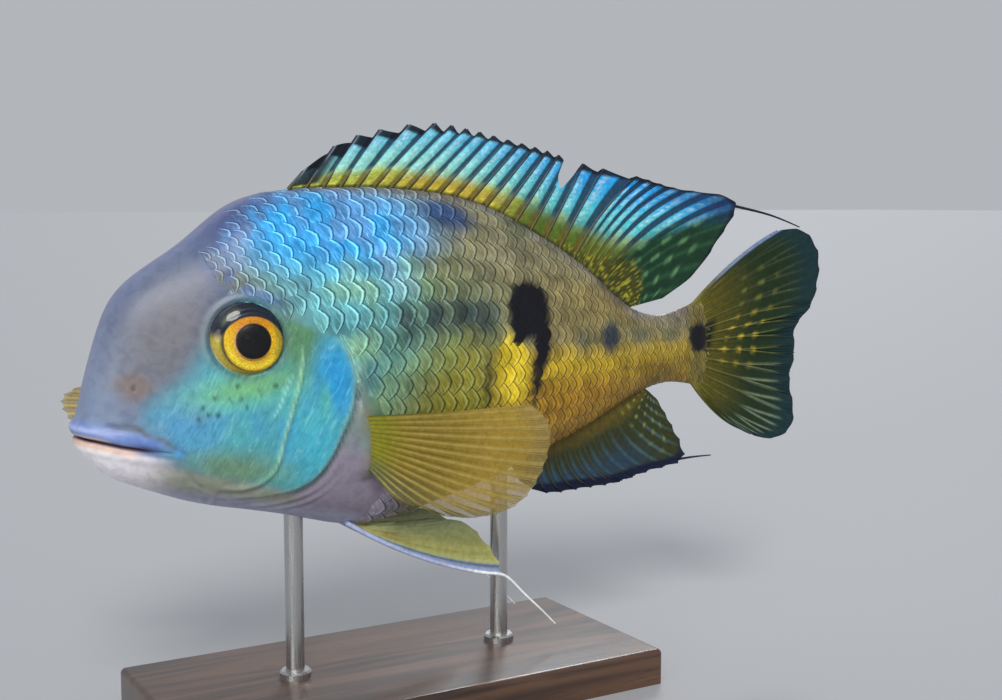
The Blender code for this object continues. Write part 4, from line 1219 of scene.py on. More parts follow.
# Eyes: a dark lens and a golden iris under a clear dome, set in the skin's socket. The ball is turned
# from one outline; the pupil sits a little behind and below the middle, as in the living fish.
EYE_RINGS, EYE_SIDES = 60, 96
PUPIL_RADIUS = 0.0236
PUPIL_SHIFT = (-0.0080, -0.0045)
IRIS_EDGE = 0.0385
LENS_EDGE_HEIGHT, LENS_BULGE = 0.0085, 0.0045
IRIS_HEIGHT, IRIS_SLOPE = 0.0096, 0.0016
DOME_GAP = 0.0006
DOME_RINGS = 24
IRIS_GOLD = (0.820, 0.520, 0.012)
IRIS_ORANGE = (0.640, 0.230, 0.008)
IRIS_OLIVE = (0.330, 0.270, 0.040)
IRIS_NAVY = (0.010, 0.016, 0.030)


def eye_points(side, radius, lift, shift=(0.0, 0.0)):
    """Places on an eye from rings of a radius and a height each, with the rings' middles shifted."""
    centre, out, ahead, up = [np.array(v) for v in eye_frame(side)]
    turn = 2 * math.pi * np.arange(EYE_SIDES) / EYE_SIDES
    middle = centre + np.multiply.outer(shift[0], ahead) + np.multiply.outer(shift[1], up)
    spokes = np.multiply.outer(np.cos(turn), ahead) + np.multiply.outer(np.sin(turn), up)
    rings = middle[..., None, :] + radius[:, None, None] * spokes
    return rings + lift[:, None, None] * out, turn


def dome_height(radius):
    """How high the clear dome stands over the eye's middle plane."""
    return EYE_BULGE * np.sqrt(np.maximum(0, 1 - (radius / EYE_RADIUS) ** 2))


def eye_colours(radius, turn):
    """Black pupil, golden iris, dark crescent above and behind, and an olive ring in front."""
    r, a = np.broadcast_arrays(radius[:, None], turn[None, :])
    front, top = np.cos(a), np.sin(a)
    flecks = 0.5 + 0.5 * np.sin(a * 41 + 3 * np.sin(a * 7)) * np.sin(r * 900)
    outer = ramp(r, IRIS_EDGE - 0.0014, IRIS_EDGE + 0.0006)
    glint = np.cos(a - math.radians(52))
    around = np.cos(a - math.radians(96))
    reach = 0.0105 * np.clip(around, 0, 1) ** 0.7
    crescent = ramp(r, 0.0420 - reach, 0.0436 - reach)
    colours = wash(
        IRIS_GOLD,
        (IRIS_ORANGE, 0.30 * flecks + 0.75 * ramp(top, 0.25, 0.9)),
        ((0.950, 0.780, 0.060), 0.8 * ridge(r - 0.0330, 0.0030) * ramp(-top, -0.3, 0.5)),
        ((0.760, 0.360, 0.220), 0.8 * ridge(r - PUPIL_RADIUS - 0.0010, 0.0014) * ramp(front, 0.1, 0.8)),
        ((0.200, 0.080, 0.010), 0.8 * ridge(r - PUPIL_RADIUS - 0.0010, 0.0016) * ramp(-top, 0.4, 0.9)),
        ((0.090, 0.130, 0.020), 0.6 * ramp(-front, 0.6, 0.95) * ramp(r, 0.028, 0.034)),
        (IRIS_OLIVE, outer),
        ((0.620, 0.480, 0.060), 0.7 * ridge(r - 0.0440, 0.0020) * ramp(front, 0.2, 0.8)),
        ((0.070, 0.050, 0.012), 0.9 * ridge(r - IRIS_EDGE - 0.0010, 0.0012)),
        ((0.780, 0.620, 0.420), 0.6 * ridge(r - 0.0470, 0.0012) * ramp(-top, 0.0, 0.6)),
        (IRIS_NAVY, crescent * ramp(around, -0.15, 0.20)),
        ((0.100, 0.120, 0.085), 0.7 * ridge(r - 0.0420, 0.0030) * ramp(glint, 0.90, 0.98)),
        (IRIS_NAVY, 0.85 * ramp(r, 0.0400, 0.0425) * ramp(-front, 0.3, 0.7) * ramp(top, -0.6, -0.2)),
        ((0.001, 0.001, 0.002), 1 - ramp(r, PUPIL_RADIUS - 0.0008, PUPIL_RADIUS + 0.0004)),
    )
    return with_fourth(colours, 1.0)


def iris_finish():
    """Metallic flecks in a golden iris, and a smooth black lens."""
    finish, tree, shader = new_finish("golden_iris")
    colour, _ = read_markings(tree)
    flecks = noise(tree, object_place(tree), 5200, 4.0, 0.5)
    shade = stretch_range(tree, flecks, 0.3, 0.7, 0.62, 1.30)
    feed(
        shader, Base_Color=brighten(tree, colour, shade), Metallic=0.20, Specular_IOR_Level=0.20,
        Roughness=stretch_range(tree, flecks, 0.3, 0.7, 0.22, 0.45), Normal=bump(tree, flecks, 0.00005, 0.6),
    )
    return finish


def cornea_finish():
    """A clear wet dome: only its reflections show, stronger towards its edge."""
    finish, tree = new_material("clear_cornea")
    clear = add_node(tree, "ShaderNodeBsdfTransparent")
    ripple = noise(tree, object_place(tree), 900, 2.0)
    gloss = add_node(tree, "ShaderNodeBsdfGlossy", Roughness=0.04, Normal=bump(tree, ripple, 0.00001, 0.3))
    facing = add_node(tree, "ShaderNodeLayerWeight", Blend=0.5).outputs["Facing"]
    share = calculate(tree, "MULTIPLY_ADD", calculate(tree, "POWER", facing, 5.0), 0.30, 0.025)
    mixed = add_node(tree, "ShaderNodeMixShader", share, clear.outputs[0], gloss.outputs[0])
    add_node(tree, "ShaderNodeOutputMaterial", Surface=mixed.outputs[0])
    return finish


def turned_faces(rings, pole_first):
    """Faces of a turned shape with a pole at its start, and its last ring closed by one face."""
    faces = tube_faces(rings, EYE_SIDES, 1)
    for side in range(EYE_SIDES):
        faces.append([0, 1 + side, 1 + (side + 1) % EYE_SIDES])
    last = 1 + (rings - 1) * EYE_SIDES
    faces.append([last + side for side in range(EYE_SIDES)][::-1])
    return [face[::-1] for face in faces] if pole_first else faces


def make_eye(name, side, iris, cornea):
    radius = EYE_RADIUS * 0.985 * np.arange(1, EYE_RINGS + 1) / EYE_RINGS
    lens = LENS_EDGE_HEIGHT + LENS_BULGE * np.sqrt(np.maximum(0, 1 - (radius / PUPIL_RADIUS) ** 2))
    slope = IRIS_HEIGHT - IRIS_SLOPE * ramp(radius, PUPIL_RADIUS, IRIS_EDGE)
    groove = 0.0010 * ridge(radius - IRIS_EDGE, 0.0012)
    fall = 0.0070 * ramp(radius, 0.0400, EYE_RADIUS)
    lift = np.where(radius < PUPIL_RADIUS, lens, slope - groove - fall)
    lift = np.minimum(lift, dome_height(radius) - DOME_GAP)
    centring = np.clip((EYE_RADIUS - radius) / (EYE_RADIUS - IRIS_EDGE), 0, 1)
    shift = (PUPIL_SHIFT[0] * centring, PUPIL_SHIFT[1] * centring)
    rings, turn = eye_points(side, radius, lift, shift)
    pole, _ = eye_points(side, np.zeros(1), np.full(1, LENS_EDGE_HEIGHT + LENS_BULGE), PUPIL_SHIFT)
    deep, _ = eye_points(side, np.full(1, EYE_RADIUS * 0.7), np.full(1, -EYE_BACK * 0.75))
    points = np.concatenate([pole.reshape(-1, 3)[:1], rings.reshape(-1, 3), deep.reshape(-1, 3)])
    colours = eye_colours(radius, turn).reshape(-1, 4)
    colours = np.concatenate([colours[:1], colours, colours[-EYE_SIDES:]])
    faces = turned_faces(EYE_RINGS + 1, side < 0)
    ball = new_piece(f"iris_{name}", place(points), faces, iris, colours)
    finish_piece(ball, "eye", f"eye_{name}")

    share = np.arange(1, DOME_RINGS + 1) / DOME_RINGS
    radius = EYE_RADIUS * np.sin(share * math.pi / 2)
    rings, _ = eye_points(side, radius, dome_height(radius))
    pole, _ = eye_points(side, np.zeros(1), np.full(1, EYE_BULGE))
    points = np.concatenate([pole.reshape(-1, 3)[:1], rings.reshape(-1, 3)])
    dome = new_piece(f"cornea_{name}", place(points), turned_faces(DOME_RINGS, side < 0), cornea)
    finish_piece(dome, "eye", f"eye_{name}")


iris_gold = iris_finish()
clear_dome = cornea_finish()
for side_name, side_sign in SIDES:
    make_eye(side_name, side_sign, iris_gold, clear_dome)


# Dorsal fin: a clear skin stretched over nineteen stiff spines and eleven soft branched rays, rooted
# along the back. Its front edge stands in black flags, one behind each spine, and its rear ends in a thread.
DORSAL_RAYS = (
    (0.302, (0.324, 0.277)), (0.340, (0.387, 0.320)), (0.384, (0.446, 0.337)), (0.434, (0.530, 0.347)),
    (0.522, (0.614, 0.334)), (0.573, (0.662, 0.324)), (0.650, (0.730, 0.309)), (0.714, (0.784, 0.294)),
    (0.770, (0.890, 0.274)), (0.808, (0.990, 0.252)), (0.833, (1.090, 0.226)), (0.852, (1.058, 0.178)),
    (0.868, (1.005, 0.118)), (0.880, (0.940, 0.078)),
)
DORSAL_SPINES = 18
DORSAL_LAST_SPINE = 0.770
DORSAL_SOFT_RAYS = 11
DORSAL_GRID = (460, 44)
DORSAL_TEAR = (0.684, 0.716, 0.36)
DORSAL_FILAMENT = ((1.060, 0, 0.232), (1.100, 0, 0.224), (1.165, 0, 0.211), (1.232, 0, 0.190))
DORSAL_BOW, DORSAL_BOW_START = (-0.010, 0.016), 0.50
MEMBRANE_ROOT, MEMBRANE_EDGE = 0.00060, 0.00028
RAY_SIDES = 8
FIN_SHARP_ANGLE = math.radians(60)

# Radii of spines, soft rays and threads, at the root and at the tip
SPINE_RADII = (0.00048, 0.00020)
SOFT_RAY_RADII = (0.00036, 0.00013)
THREAD_RADII = (0.00042, 0.00016)
FORK_OVERLAP = 0.02
BRANCH_SPREAD, TWIG_SPREAD = 0.22, 0.09


def ray_curves(rays):
    """Curves through the knots of a fin, against a ray's place: 0 at the first knot, 1 at the last."""
    roots = np.array([root for root, _ in rays])
    tips = np.array([tip for _, tip in rays])
    knots = np.concatenate([[0.0], np.cumsum(np.linalg.norm(np.diff(tips, axis=0), axis=1))])
    knots /= knots[-1]
    return spline(knots, roots), [spline(knots, tips[:, axis]) for axis in range(tips.shape[1])]


def fan(roots, tips, sag=None):
    """The surface of a fin: its place at a ray's place across the fan, and at a height from root to edge."""
    def surface(at, height):
        root, tip = roots(at), tips(at)
        point = root + (tip - root) * height[..., None]
        if sag is not None:
            point = point + sag(at) * (4 * height * (1 - height))[..., None]
        return point

    return surface


def fin_sheet(surface, grid, edge, ripple, root_depth):
    """A closed thin sheet over a fan. It gives the places, the faces, and where each place is on the fan."""
    columns, rows = grid
    at = np.linspace(0, 1, columns)
    share = np.linspace(0, 1, rows)
    start = -root_depth
    height = start + (edge(at)[:, None] - start) * share[None, :]
    at = np.broadcast_to(at[:, None], height.shape)
    middle = surface(at, height)
    normal = np.cross(np.gradient(middle, axis=0), np.gradient(middle, axis=1))
    normal /= np.maximum(np.linalg.norm(normal, axis=-1, keepdims=True), 1e-12)
    thick = (MEMBRANE_ROOT + (MEMBRANE_EDGE - MEMBRANE_ROOT) * share) / STANDARD_LENGTH
    wave = ripple(at, height)[..., None]
    front = middle + normal * (wave + thick[None, :, None] / 2)
    back = middle + normal * (wave - thick[None, :, None] / 2)
    numbers = np.arange(columns * rows).reshape(columns, rows)
    half = columns * rows
    quads = sheet_faces(numbers)
    rim = np.concatenate([numbers[:-1, 0], numbers[-1, :-1], numbers[:0:-1, -1], numbers[0, :0:-1]])
    after = np.roll(rim, -1)
    wall = np.stack([rim, rim + half, after + half, after], axis=-1)
    faces = np.concatenate([quads, quads[:, ::-1] + half, wall]).tolist()
    points = np.concatenate([front.reshape(-1, 3), back.reshape(-1, 3)])
    return points, faces, np.tile(at.ravel(), 2), np.tile(height.ravel(), 2)


def ray_tree():
    """The node tree that makes round rays, thick at the root and fine at the tip, along their lines."""
    tree = bpy.data.node_groups.new("round_rays", "GeometryNodeTree")
    sockets, given = group_inputs(tree, ("Lines", "Geometry"), ("Sides", "Int"), ("Finish", "Material"))
    curves = add_node(tree, "GeometryNodeMeshToCurve", Mesh=given["Lines"])
    circle = add_node(
        tree, "GeometryNodeCurvePrimitiveCircle", settings={"mode": "RADIUS"},
        Resolution=given["Sides"], Radius=1.0,
    )
    tubes = add_node(
        tree, "GeometryNodeCurveToMesh", curves.outputs["Curve"], circle.outputs["Curve"],
        Scale=stored_on(tree, "Radius", "FLOAT"), Fill_Caps=True,
    )
    joined = add_node(tree, "GeometryNodeRealizeInstances", tubes.outputs["Mesh"])
    end_tree(tree, "Rays", joined.outputs["Geometry"], given["Finish"])
    return tree, sockets


RAY_TREE, RAY_SOCKETS = ray_tree()


def round_rays(lines, finish):
    """Places, faces and colours of round rays. A line is its places in metres, radii and colours."""
    points, radii, colours = [np.concatenate(part) for part in zip(*lines)]
    edges, first = [], 0
    for line, _, _ in lines:
        edges += [(first + i, first + i + 1) for i in range(len(line) - 1)]
        first += len(line)
    mesh = bpy.data.meshes.new("ray_lines")
    mesh.from_pydata(points.tolist(), edges, [])
    mesh.attributes.new("Radius", "FLOAT", "POINT").data.foreach_set("value", radii)
    lay_colours(mesh, colours)
    made = grow("ray_lines", mesh, RAY_TREE, RAY_SOCKETS, Sides=RAY_SIDES, Finish=finish)
    faces = [list(face.vertices) for face in made.polygons]
    return read_rows(made.vertices, "co", 3), faces, read_rows(made.attributes["Markings"].data, "color", 4)


def build_fin(name, sheet, colours, lines, finish, slot, node):
    """Joins a fin's membrane and its rays in one piece."""
    points, faces, at, height = sheet
    tube_points, tube_faces_list, tube_colours = round_rays(lines, finish)
    shifted = [[corner + len(points) for corner in face] for face in tube_faces_list]
    piece = new_piece(
        name, np.concatenate([place(points), tube_points]), faces + shifted, finish,
        np.concatenate([colours(at, height), tube_colours]),
    )
    piece.data.set_sharp_from_angle(angle=FIN_SHARP_ANGLE)
    finish_piece(piece, slot, node)


def fin_finish(name, cloudiness=0.5):
    """A wet, slightly clear membrane whose stored fourth number says how solid it is."""
    finish, tree, shader = new_finish(name)
    colour, solid = read_markings(tree)
    cloud = noise(tree, object_place(tree), 900, 5.0, 0.6)
    fibres = noise(tree, object_place(tree, (600, 600, 3200)), 1.0, 3.0)
    shade = stretch_range(tree, cloud, 0.25, 0.75, 1 - 0.4 * cloudiness, 1 + 0.4 * cloudiness)
    feed(
        shader, Base_Color=brighten(tree, colour, shade), Alpha=solid,
        Roughness=stretch_range(tree, cloud, 0.2, 0.8, 0.28, 0.45), Normal=bump(tree, fibres, 0.00005, 0.5),
        Specular_IOR_Level=0.26, Coat_Weight=0.05, Coat_Roughness=0.20,
    )
    return finish


def ray_line(surface, at, heights, radii, colour_of):
    """One ray's places, radii and colours. at may be one place or one for each height."""
    at = np.broadcast_to(at, heights.shape)
    share = np.clip((heights - heights[0]) / (heights[-1] - heights[0]), 0, 1)
    return place(surface(at, heights)), radii[0] + (radii[1] - radii[0]) * share, colour_of(at, heights)


def branched_ray(surface, at, gap, top, radii, colour_of, fork=0.45, start=-0.02):
    """A soft ray: one stem that forks in two, with each branch forking again near the edge."""
    root, tip = radii
    stem_radii = (root, 0.7 * root + 0.3 * tip)
    branch_radii = (0.55 * root, 0.3 * root + 0.5 * tip)
    twig_radii = (0.35 * root, tip)
    second = fork + 0.55 * (top - fork)
    branch_start, twig_start = fork - FORK_OVERLAP, second - FORK_OVERLAP
    lines = [ray_line(surface, at, np.linspace(start, fork, 7), stem_radii, colour_of)]
    for way in (-1, 1):
        heights = np.linspace(branch_start, second, 14)
        spread = at + way * gap * BRANCH_SPREAD * ramp(heights, branch_start, top)
        lines.append(ray_line(surface, spread, heights, branch_radii, colour_of))
        for again in (-1, 1):
            heights = np.linspace(twig_start, top, 7)
            middle = at + way * gap * BRANCH_SPREAD * ramp(heights, branch_start, top)
            spread = middle + again * gap * TWIG_SPREAD * ramp(heights, twig_start, top)
            lines.append(ray_line(surface, spread, heights, twig_radii, colour_of))
    return lines


def thread_line(path, colour):
    """The trailing thread of a fin, as a line of falling thickness."""
    line = smooth_path(path, 24)
    radii = np.linspace(*THREAD_RADII, len(line))
    return place(line), radii, np.tile(colour, (len(line), 1))


def middle_fan(rays, root_height, bow, bow_start):
    """The fan of a fin that stands in the fish's middle plane. Its rays past bow_start bend backwards."""
    root_curve, tip_curves = ray_curves(rays)

    def roots(at):
        x = root_curve(at)
        return stacked(x, 0, root_height(x))

    def tips(at):
        return stacked(tip_curves[0](at), 0, tip_curves[1](at))

    def sag(at):
        bend = np.sin(math.pi * np.clip((at - bow_start) / (1 - bow_start), 0, 1))
        return stacked(bow[0] * bend, 0, bow[1] * bend)

    return fan(roots, tips, sag), root_curve


def back_height(x):
    return CURVES[1](np.minimum(distance_along(x), BODY_END))


def belly_height(x):
    return CURVES[2](np.minimum(distance_along(x), BODY_END))


def place_of_root(root_curve, x):
    """The place across a fan of the ray that is rooted at x."""
    at = np.linspace(0, 1, 2000)
    return np.interp(x, root_curve(at), at)


def scalloped(count, depth, power=0.7):
    """A fin's edge with a shallow bay at each of its rays."""
    def edge(at):
        return 1 - depth * np.abs(np.sin(math.pi * at * count)) ** power

    return edge


def dorsal_phase(x):
    """How far places are from one spine to the next: the whole number counts spines."""
    return (x - DORSAL_RAYS[0][0]) / (DORSAL_LAST_SPINE - DORSAL_RAYS[0][0]) * DORSAL_SPINES


def dorsal_edge(root_curve):
    """The dorsal fin's edge: a flag behind each spine, the tear, and shallow scallops at the soft rays."""
    start, end, depth = DORSAL_TEAR

    def edge(at):
        x = root_curve(at)
        phase = dorsal_phase(x) % 1.0
        depth_here = 0.15 - 0.09 * ramp(x, 0.38, 0.60)
        flags = depth_here * np.where(phase < 0.9, phase / 0.9, (1 - phase) * 10) ** 0.8
        soft = 0.012 * np.abs(np.sin(math.pi * soft_phase(x)))
        trim = np.where(x < DORSAL_LAST_SPINE, flags, soft)
        inside = np.clip((x - start) / (end - start), 0, 1)
        return 1 - trim - depth * np.sin(math.pi * inside) ** 0.7

    return edge


def soft_phase(x):
    """How far places are from one soft ray to the next: the whole number counts rays."""
    return (x - DORSAL_LAST_SPINE) / (DORSAL_RAYS[-1][0] - DORSAL_LAST_SPINE) * DORSAL_SOFT_RAYS


def dorsal_colours(root_curve):
    """Yellow base, pale and blue panels with slate stripes, a green rear with dashes, and a black edge."""
    def colours(at, height):
        x = root_curve(at)
        spiny = ramp(DORSAL_LAST_SPINE + 0.002 - x, 0, 0.004)
        spine_phase = dorsal_phase(x) % 1.0
        ray_phase = soft_phase(x) % 1.0
        phase = spine_phase * spiny + ray_phase * (1 - spiny)
        along = ramp(x, 0.40, 0.78)[..., None]
        upper = ramp(height, 0.35, 0.90)[..., None]
        number = np.floor(dorsal_phase(x))
        uneven = value_noise(number * 3.7, height * 9, 5)
        grain = value_noise(dorsal_phase(x) * 9, height * 46, 6)
        pale = np.array((0.280, 0.740, 0.640)) * (1 - along) + np.array((0.085, 0.580, 0.620)) * along
        blue = np.array((0.150, 0.640, 0.860)) * (1 - along) + np.array((0.012, 0.390, 0.900)) * along
        ray_number = np.floor(soft_phase(x))
        dashes = ramp(np.sin(height * 26 + ray_number * 2.4), 0.55, 0.85) * ridge(ray_phase - 0.5, 0.20)
        rear = ramp(x + 0.030 * (1 - height), 0.832, 0.850)
        green = wash(
            (0.005, 0.034, 0.014),
            ((0.180, 0.400, 0.170), 0.85 * dashes * ramp(height, 0.15, 0.3) * ramp(0.84 - height, 0, 0.1)),
            ((0.035, 0.120, 0.050), 0.5 * ridge(ray_phase - 0.5, 0.16) * ramp(height, 0.1, 0.3)),
        )
        base_height = 0.22 + 0.16 * uneven + 0.09 * grain
        hot = spot(x, height, (0.545, 0.08), (0.100, 0.15), 0, 0.7) * (0.5 + 0.5 * ramp(grain, 0.4, 0.6))
        soft = 1 - spiny
        stripe = ramp(phase, 0.60 - 0.14 * soft, 0.70 - 0.12 * soft) * ramp(1.02 - phase, 0, 0.08)
        speckles = ramp(value_noise(x * 430, height * 52, 8), 0.60, 0.80)
        base = ramp(0.14 + 0.16 * ramp(x, 0.76, 0.86) - height, 0, 0.14) * ramp(x, 0.68, 0.78)
        front = ramp(0.52 - x, 0, 0.20)
        start = 0.885 - 0.30 * front * phase - 0.16 * ramp(0.40 - x, 0, 0.08) + 0.06 * ramp(x, 0.74, 0.82)
        made = wash(
            pale * (1 - upper) + blue * upper,
            ((0.640, 0.900, 0.860), 0.65 * ridge(phase - 0.25, 0.16) * ramp(grain, 0.3, 0.7)),
            ((0.030, 0.260, 0.620), 0.6 * ramp(grain, 0.62, 0.85) * ramp(height, 0.45, 0.75)),
            ((0.560, 0.620, 0.060), 0.9 * ramp(base_height - height, -0.06, 0.22)),
            ((0.300, 0.330, 0.020), 0.6 * ramp(grain, 0.60, 0.30) * ramp(0.30 - height, 0, 0.15)),
            ((0.600, 0.300, 0.010), 0.8 * hot),
            ((0.860, 0.760, 0.080), 0.75 * ramp(0.12 - height, 0, 0.08) * ramp(grain, 0.45, 0.7)),
            ((0.050, 0.105, 0.008), 0.9 * ramp(0.46 - height, 0, 0.3) * ramp(x, 0.60, 0.69)),
            ((0.014, 0.040, 0.080), 0.95 * stripe * ramp(height, 0.12, 0.34)),
            ((0.130, 0.095, 0.008), 0.85 * stripe * ramp(0.34 - height, 0, 0.2)),
            ((0.010, 0.016, 0.030), 0.95 * ramp(0.352 - x, 0, 0.02) * ramp(height, 0.02, 0.10)),
            ((0.008, 0.030, 0.110), 0.9 * ramp(x, 0.775, 0.84) * ramp(height, 0.62, 0.92)),
            (green, rear),
            ((0.055, 0.055, 0.006), 0.85 * base),
            ((0.460, 0.420, 0.030), 0.75 * base * speckles),
            ((0.030, 0.035, 0.012), 0.85 * ramp(0.030 - height, 0, 0.03)),
            ((0.003, 0.005, 0.012), 0.97 * ramp(height, start, start + 0.04)),
            ((0.240, 0.300, 0.420), 0.7 * front * ridge(phase - 0.04, 0.05) * ramp(height, 0.55, 0.75)),
        )
        return with_fourth(made, 0.99 - 0.03 * rear * ramp(height, 0.2, 0.9))

    return colours


def ray_tint(colours, tint=BLACK, share=0.0):
    """A ray's colour: the membrane's, drawn towards a tint, and solid."""
    def tinted(at, height):
        made = colours(at, height)
        made[..., :3] = wash(made[..., :3], (tint, share * ramp(0.85 - height, 0, 0.12)))
        made[..., 3] = 1.0
        return made

    return tinted


def make_dorsal_fin():
    surface, root_curve = middle_fan(DORSAL_RAYS, back_height, DORSAL_BOW, DORSAL_BOW_START)
    edge, colours = dorsal_edge(root_curve), dorsal_colours(root_curve)

    def ripple(at, height):
        x = root_curve(at)
        fold = np.sin(2 * math.pi * dorsal_phase(x)) * ramp(DORSAL_LAST_SPINE - x, -0.01, 0.01)
        sweep = np.sin(9 * at) * 0.0040 + np.sin(2 * math.pi * soft_phase(x)) * 0.0006 * ramp(x, 0.77, 0.78)
        return (0.0009 * fold + sweep * height) * ramp(height, 0, 0.3)

    def spine_colour(at, height):
        made = wash(
            (0.035, 0.075, 0.100),
            ((0.075, 0.060, 0.008), ramp(0.4 - height, 0, 0.3)),
            ((0.006, 0.009, 0.014), 0.95 * ramp(height, 0.70, 0.85)),
        )
        return with_fourth(made, 1.0)

    sheet = fin_sheet(surface, DORSAL_GRID, edge, ripple, 0.06)
    lines = []
    first = DORSAL_RAYS[0][0]
    for number in range(DORSAL_SPINES + 1):
        x = first + (DORSAL_LAST_SPINE - first) * number / DORSAL_SPINES
        at = float(place_of_root(root_curve, x))
        heights = np.linspace(-0.05, 0.985 if number else 0.93, 18)
        if DORSAL_TEAR[0] < x < DORSAL_TEAR[1]:
            heights = heights * 0.62
        lines.append(ray_line(surface, at, heights, SPINE_RADII, spine_colour))
    spacing = (DORSAL_RAYS[-1][0] - DORSAL_LAST_SPINE) / DORSAL_SOFT_RAYS
    for number in range(DORSAL_SOFT_RAYS):
        x = DORSAL_LAST_SPINE + spacing * (number + 0.5)
        at = float(place_of_root(root_curve, x))
        gap = float(place_of_root(root_curve, x + spacing / 2) - place_of_root(root_curve, x - spacing / 2))
        lines += branched_ray(surface, at, gap, 0.96, SOFT_RAY_RADII, ray_tint(colours))
    lines.append(thread_line(DORSAL_FILAMENT, (0.006, 0.012, 0.020, 1.0)))
    build_fin(
        "dorsal_fin_skin", sheet, colours, lines, fin_finish("dorsal_fin_skin"),
        "dorsal_membrane", "dorsal_fin",
    )


make_dorsal_fin()


# Anal fin: the same build below the belly, dark olive with rows of pale dots, a scalloped black edge
# and a black thread.
ANAL_RAYS = (
    (0.660, (0.674, -0.196)), (0.690, (0.708, -0.216)), (0.735, (0.780, -0.220)), (0.785, (0.865, -0.216)),
    (0.830, (0.935, -0.202)), (0.858, (0.990, -0.186)), (0.878, (0.975, -0.150)), (0.896, (0.950, -0.112)),
    (0.908, (0.932, -0.086)),
)
ANAL_FILAMENT = ((0.950, 0, -0.192), (0.990, 0, -0.189), (1.046, 0, -0.189))
ANAL_SPINES, ANAL_SOFT_RAYS = 7, 9
ANAL_SPINE_RADII = (0.00044, 0.00020)
ANAL_BOW = (-0.014, -0.014)
ANAL_GRID = (240, 36)


def anal_colours(at, height):
    count = ANAL_SPINES + ANAL_SOFT_RAYS
    phase = (at * count) % 1.0
    dots = ramp(np.sin(height * 40 + np.floor(at * count) * 0.9), 0.70, 0.92) * ridge(phase - 0.5, 0.18)
    streaks = ridge(phase - 0.5, 0.13) * ridge(height - 0.60, 0.28)
    margin = 0.64 + 0.12 * ramp(at, 0.25, 0.6) + 0.18 * ramp(at, 0.62, 0.85)
    made = wash(
        (0.028, 0.034, 0.007),
        ((0.150, 0.105, 0.010), 0.8 * ramp(0.24 - height, 0, 0.20)),
        ((0.360, 0.420, 0.060), 0.8 * dots * ramp(at, 0.66, 0.80) * ramp(0.85 - height, 0, 0.1)),
        ((0.100, 0.180, 0.190), 0.65 * streaks),
        ((0.010, 0.050, 0.120), 0.6 * ridge(height - 0.62, 0.22) * ramp(0.75 - at, 0, 0.2)),
        ((0.001, 0.004, 0.030), 0.95 * ramp(height, margin, margin + 0.08)),
    )
    return with_fourth(made, 0.97 - 0.10 * ramp(height, 0.85, 1.0))


def make_anal_fin():
    surface, _ = middle_fan(ANAL_RAYS, belly_height, ANAL_BOW, 0.0)
    count = ANAL_SPINES + ANAL_SOFT_RAYS

    def ripple(at, height):
        folds = 0.0008 * np.sin(2 * math.pi * at * count)
        return (folds + 0.0030 * np.sin(6 * at) * height) * ramp(height, 0, 0.3)

    sheet = fin_sheet(surface, ANAL_GRID, scalloped(count, 0.045, 0.8), ripple, 0.08)
    lines = []
    tinted = ray_tint(anal_colours, (0.070, 0.065, 0.014), 0.6)
    for number in range(count + 1):
        at = number / count
        if number < ANAL_SPINES:
            lines.append(ray_line(surface, at, np.linspace(-0.05, 0.98, 14), ANAL_SPINE_RADII, tinted))
        else:
            gap = 1 / count if number < count else 0.0
            lines += branched_ray(surface, at, gap, 0.97, SOFT_RAY_RADII, tinted)
    lines.append(thread_line(ANAL_FILAMENT, (0.006, 0.012, 0.030, 1.0)))
    build_fin(
        "anal_fin_skin", sheet, anal_colours, lines, fin_finish("anal_fin_skin"),
        "anal_membrane", "anal_fin",
    )


make_anal_fin()


# Tail fin: sixteen branched rays in a fan from the end of the tail stalk, olive at the root and dark
# green beyond, with rows of yellow dashes on its middle rays and a clear teal edge.
CAUDAL_RAYS = (
    (0.064, (1.185, 0.186)), (0.056, (1.240, 0.183)), (0.044, (1.272, 0.150)), (0.028, (1.277, 0.095)),
    (0.014, (1.262, 0.050)), (0.003, (1.232, 0.016)), (-0.009, (1.232, -0.030)), (-0.022, (1.222, -0.065)),
    (-0.036, (1.228, -0.115)), (-0.048, (1.224, -0.152)), (-0.056, (1.185, -0.171)),
    (-0.062, (1.110, -0.150)),
)
CAUDAL_ROOT = 1.002
CAUDAL_BOW = 0.012
CAUDAL_RAY_COUNT = 16
CAUDAL_RAY_RADII = (0.00042, 0.00012)
CAUDAL_EDGE_RADII = (0.00046, 0.00018)
CAUDAL_GRID = (300, 60)


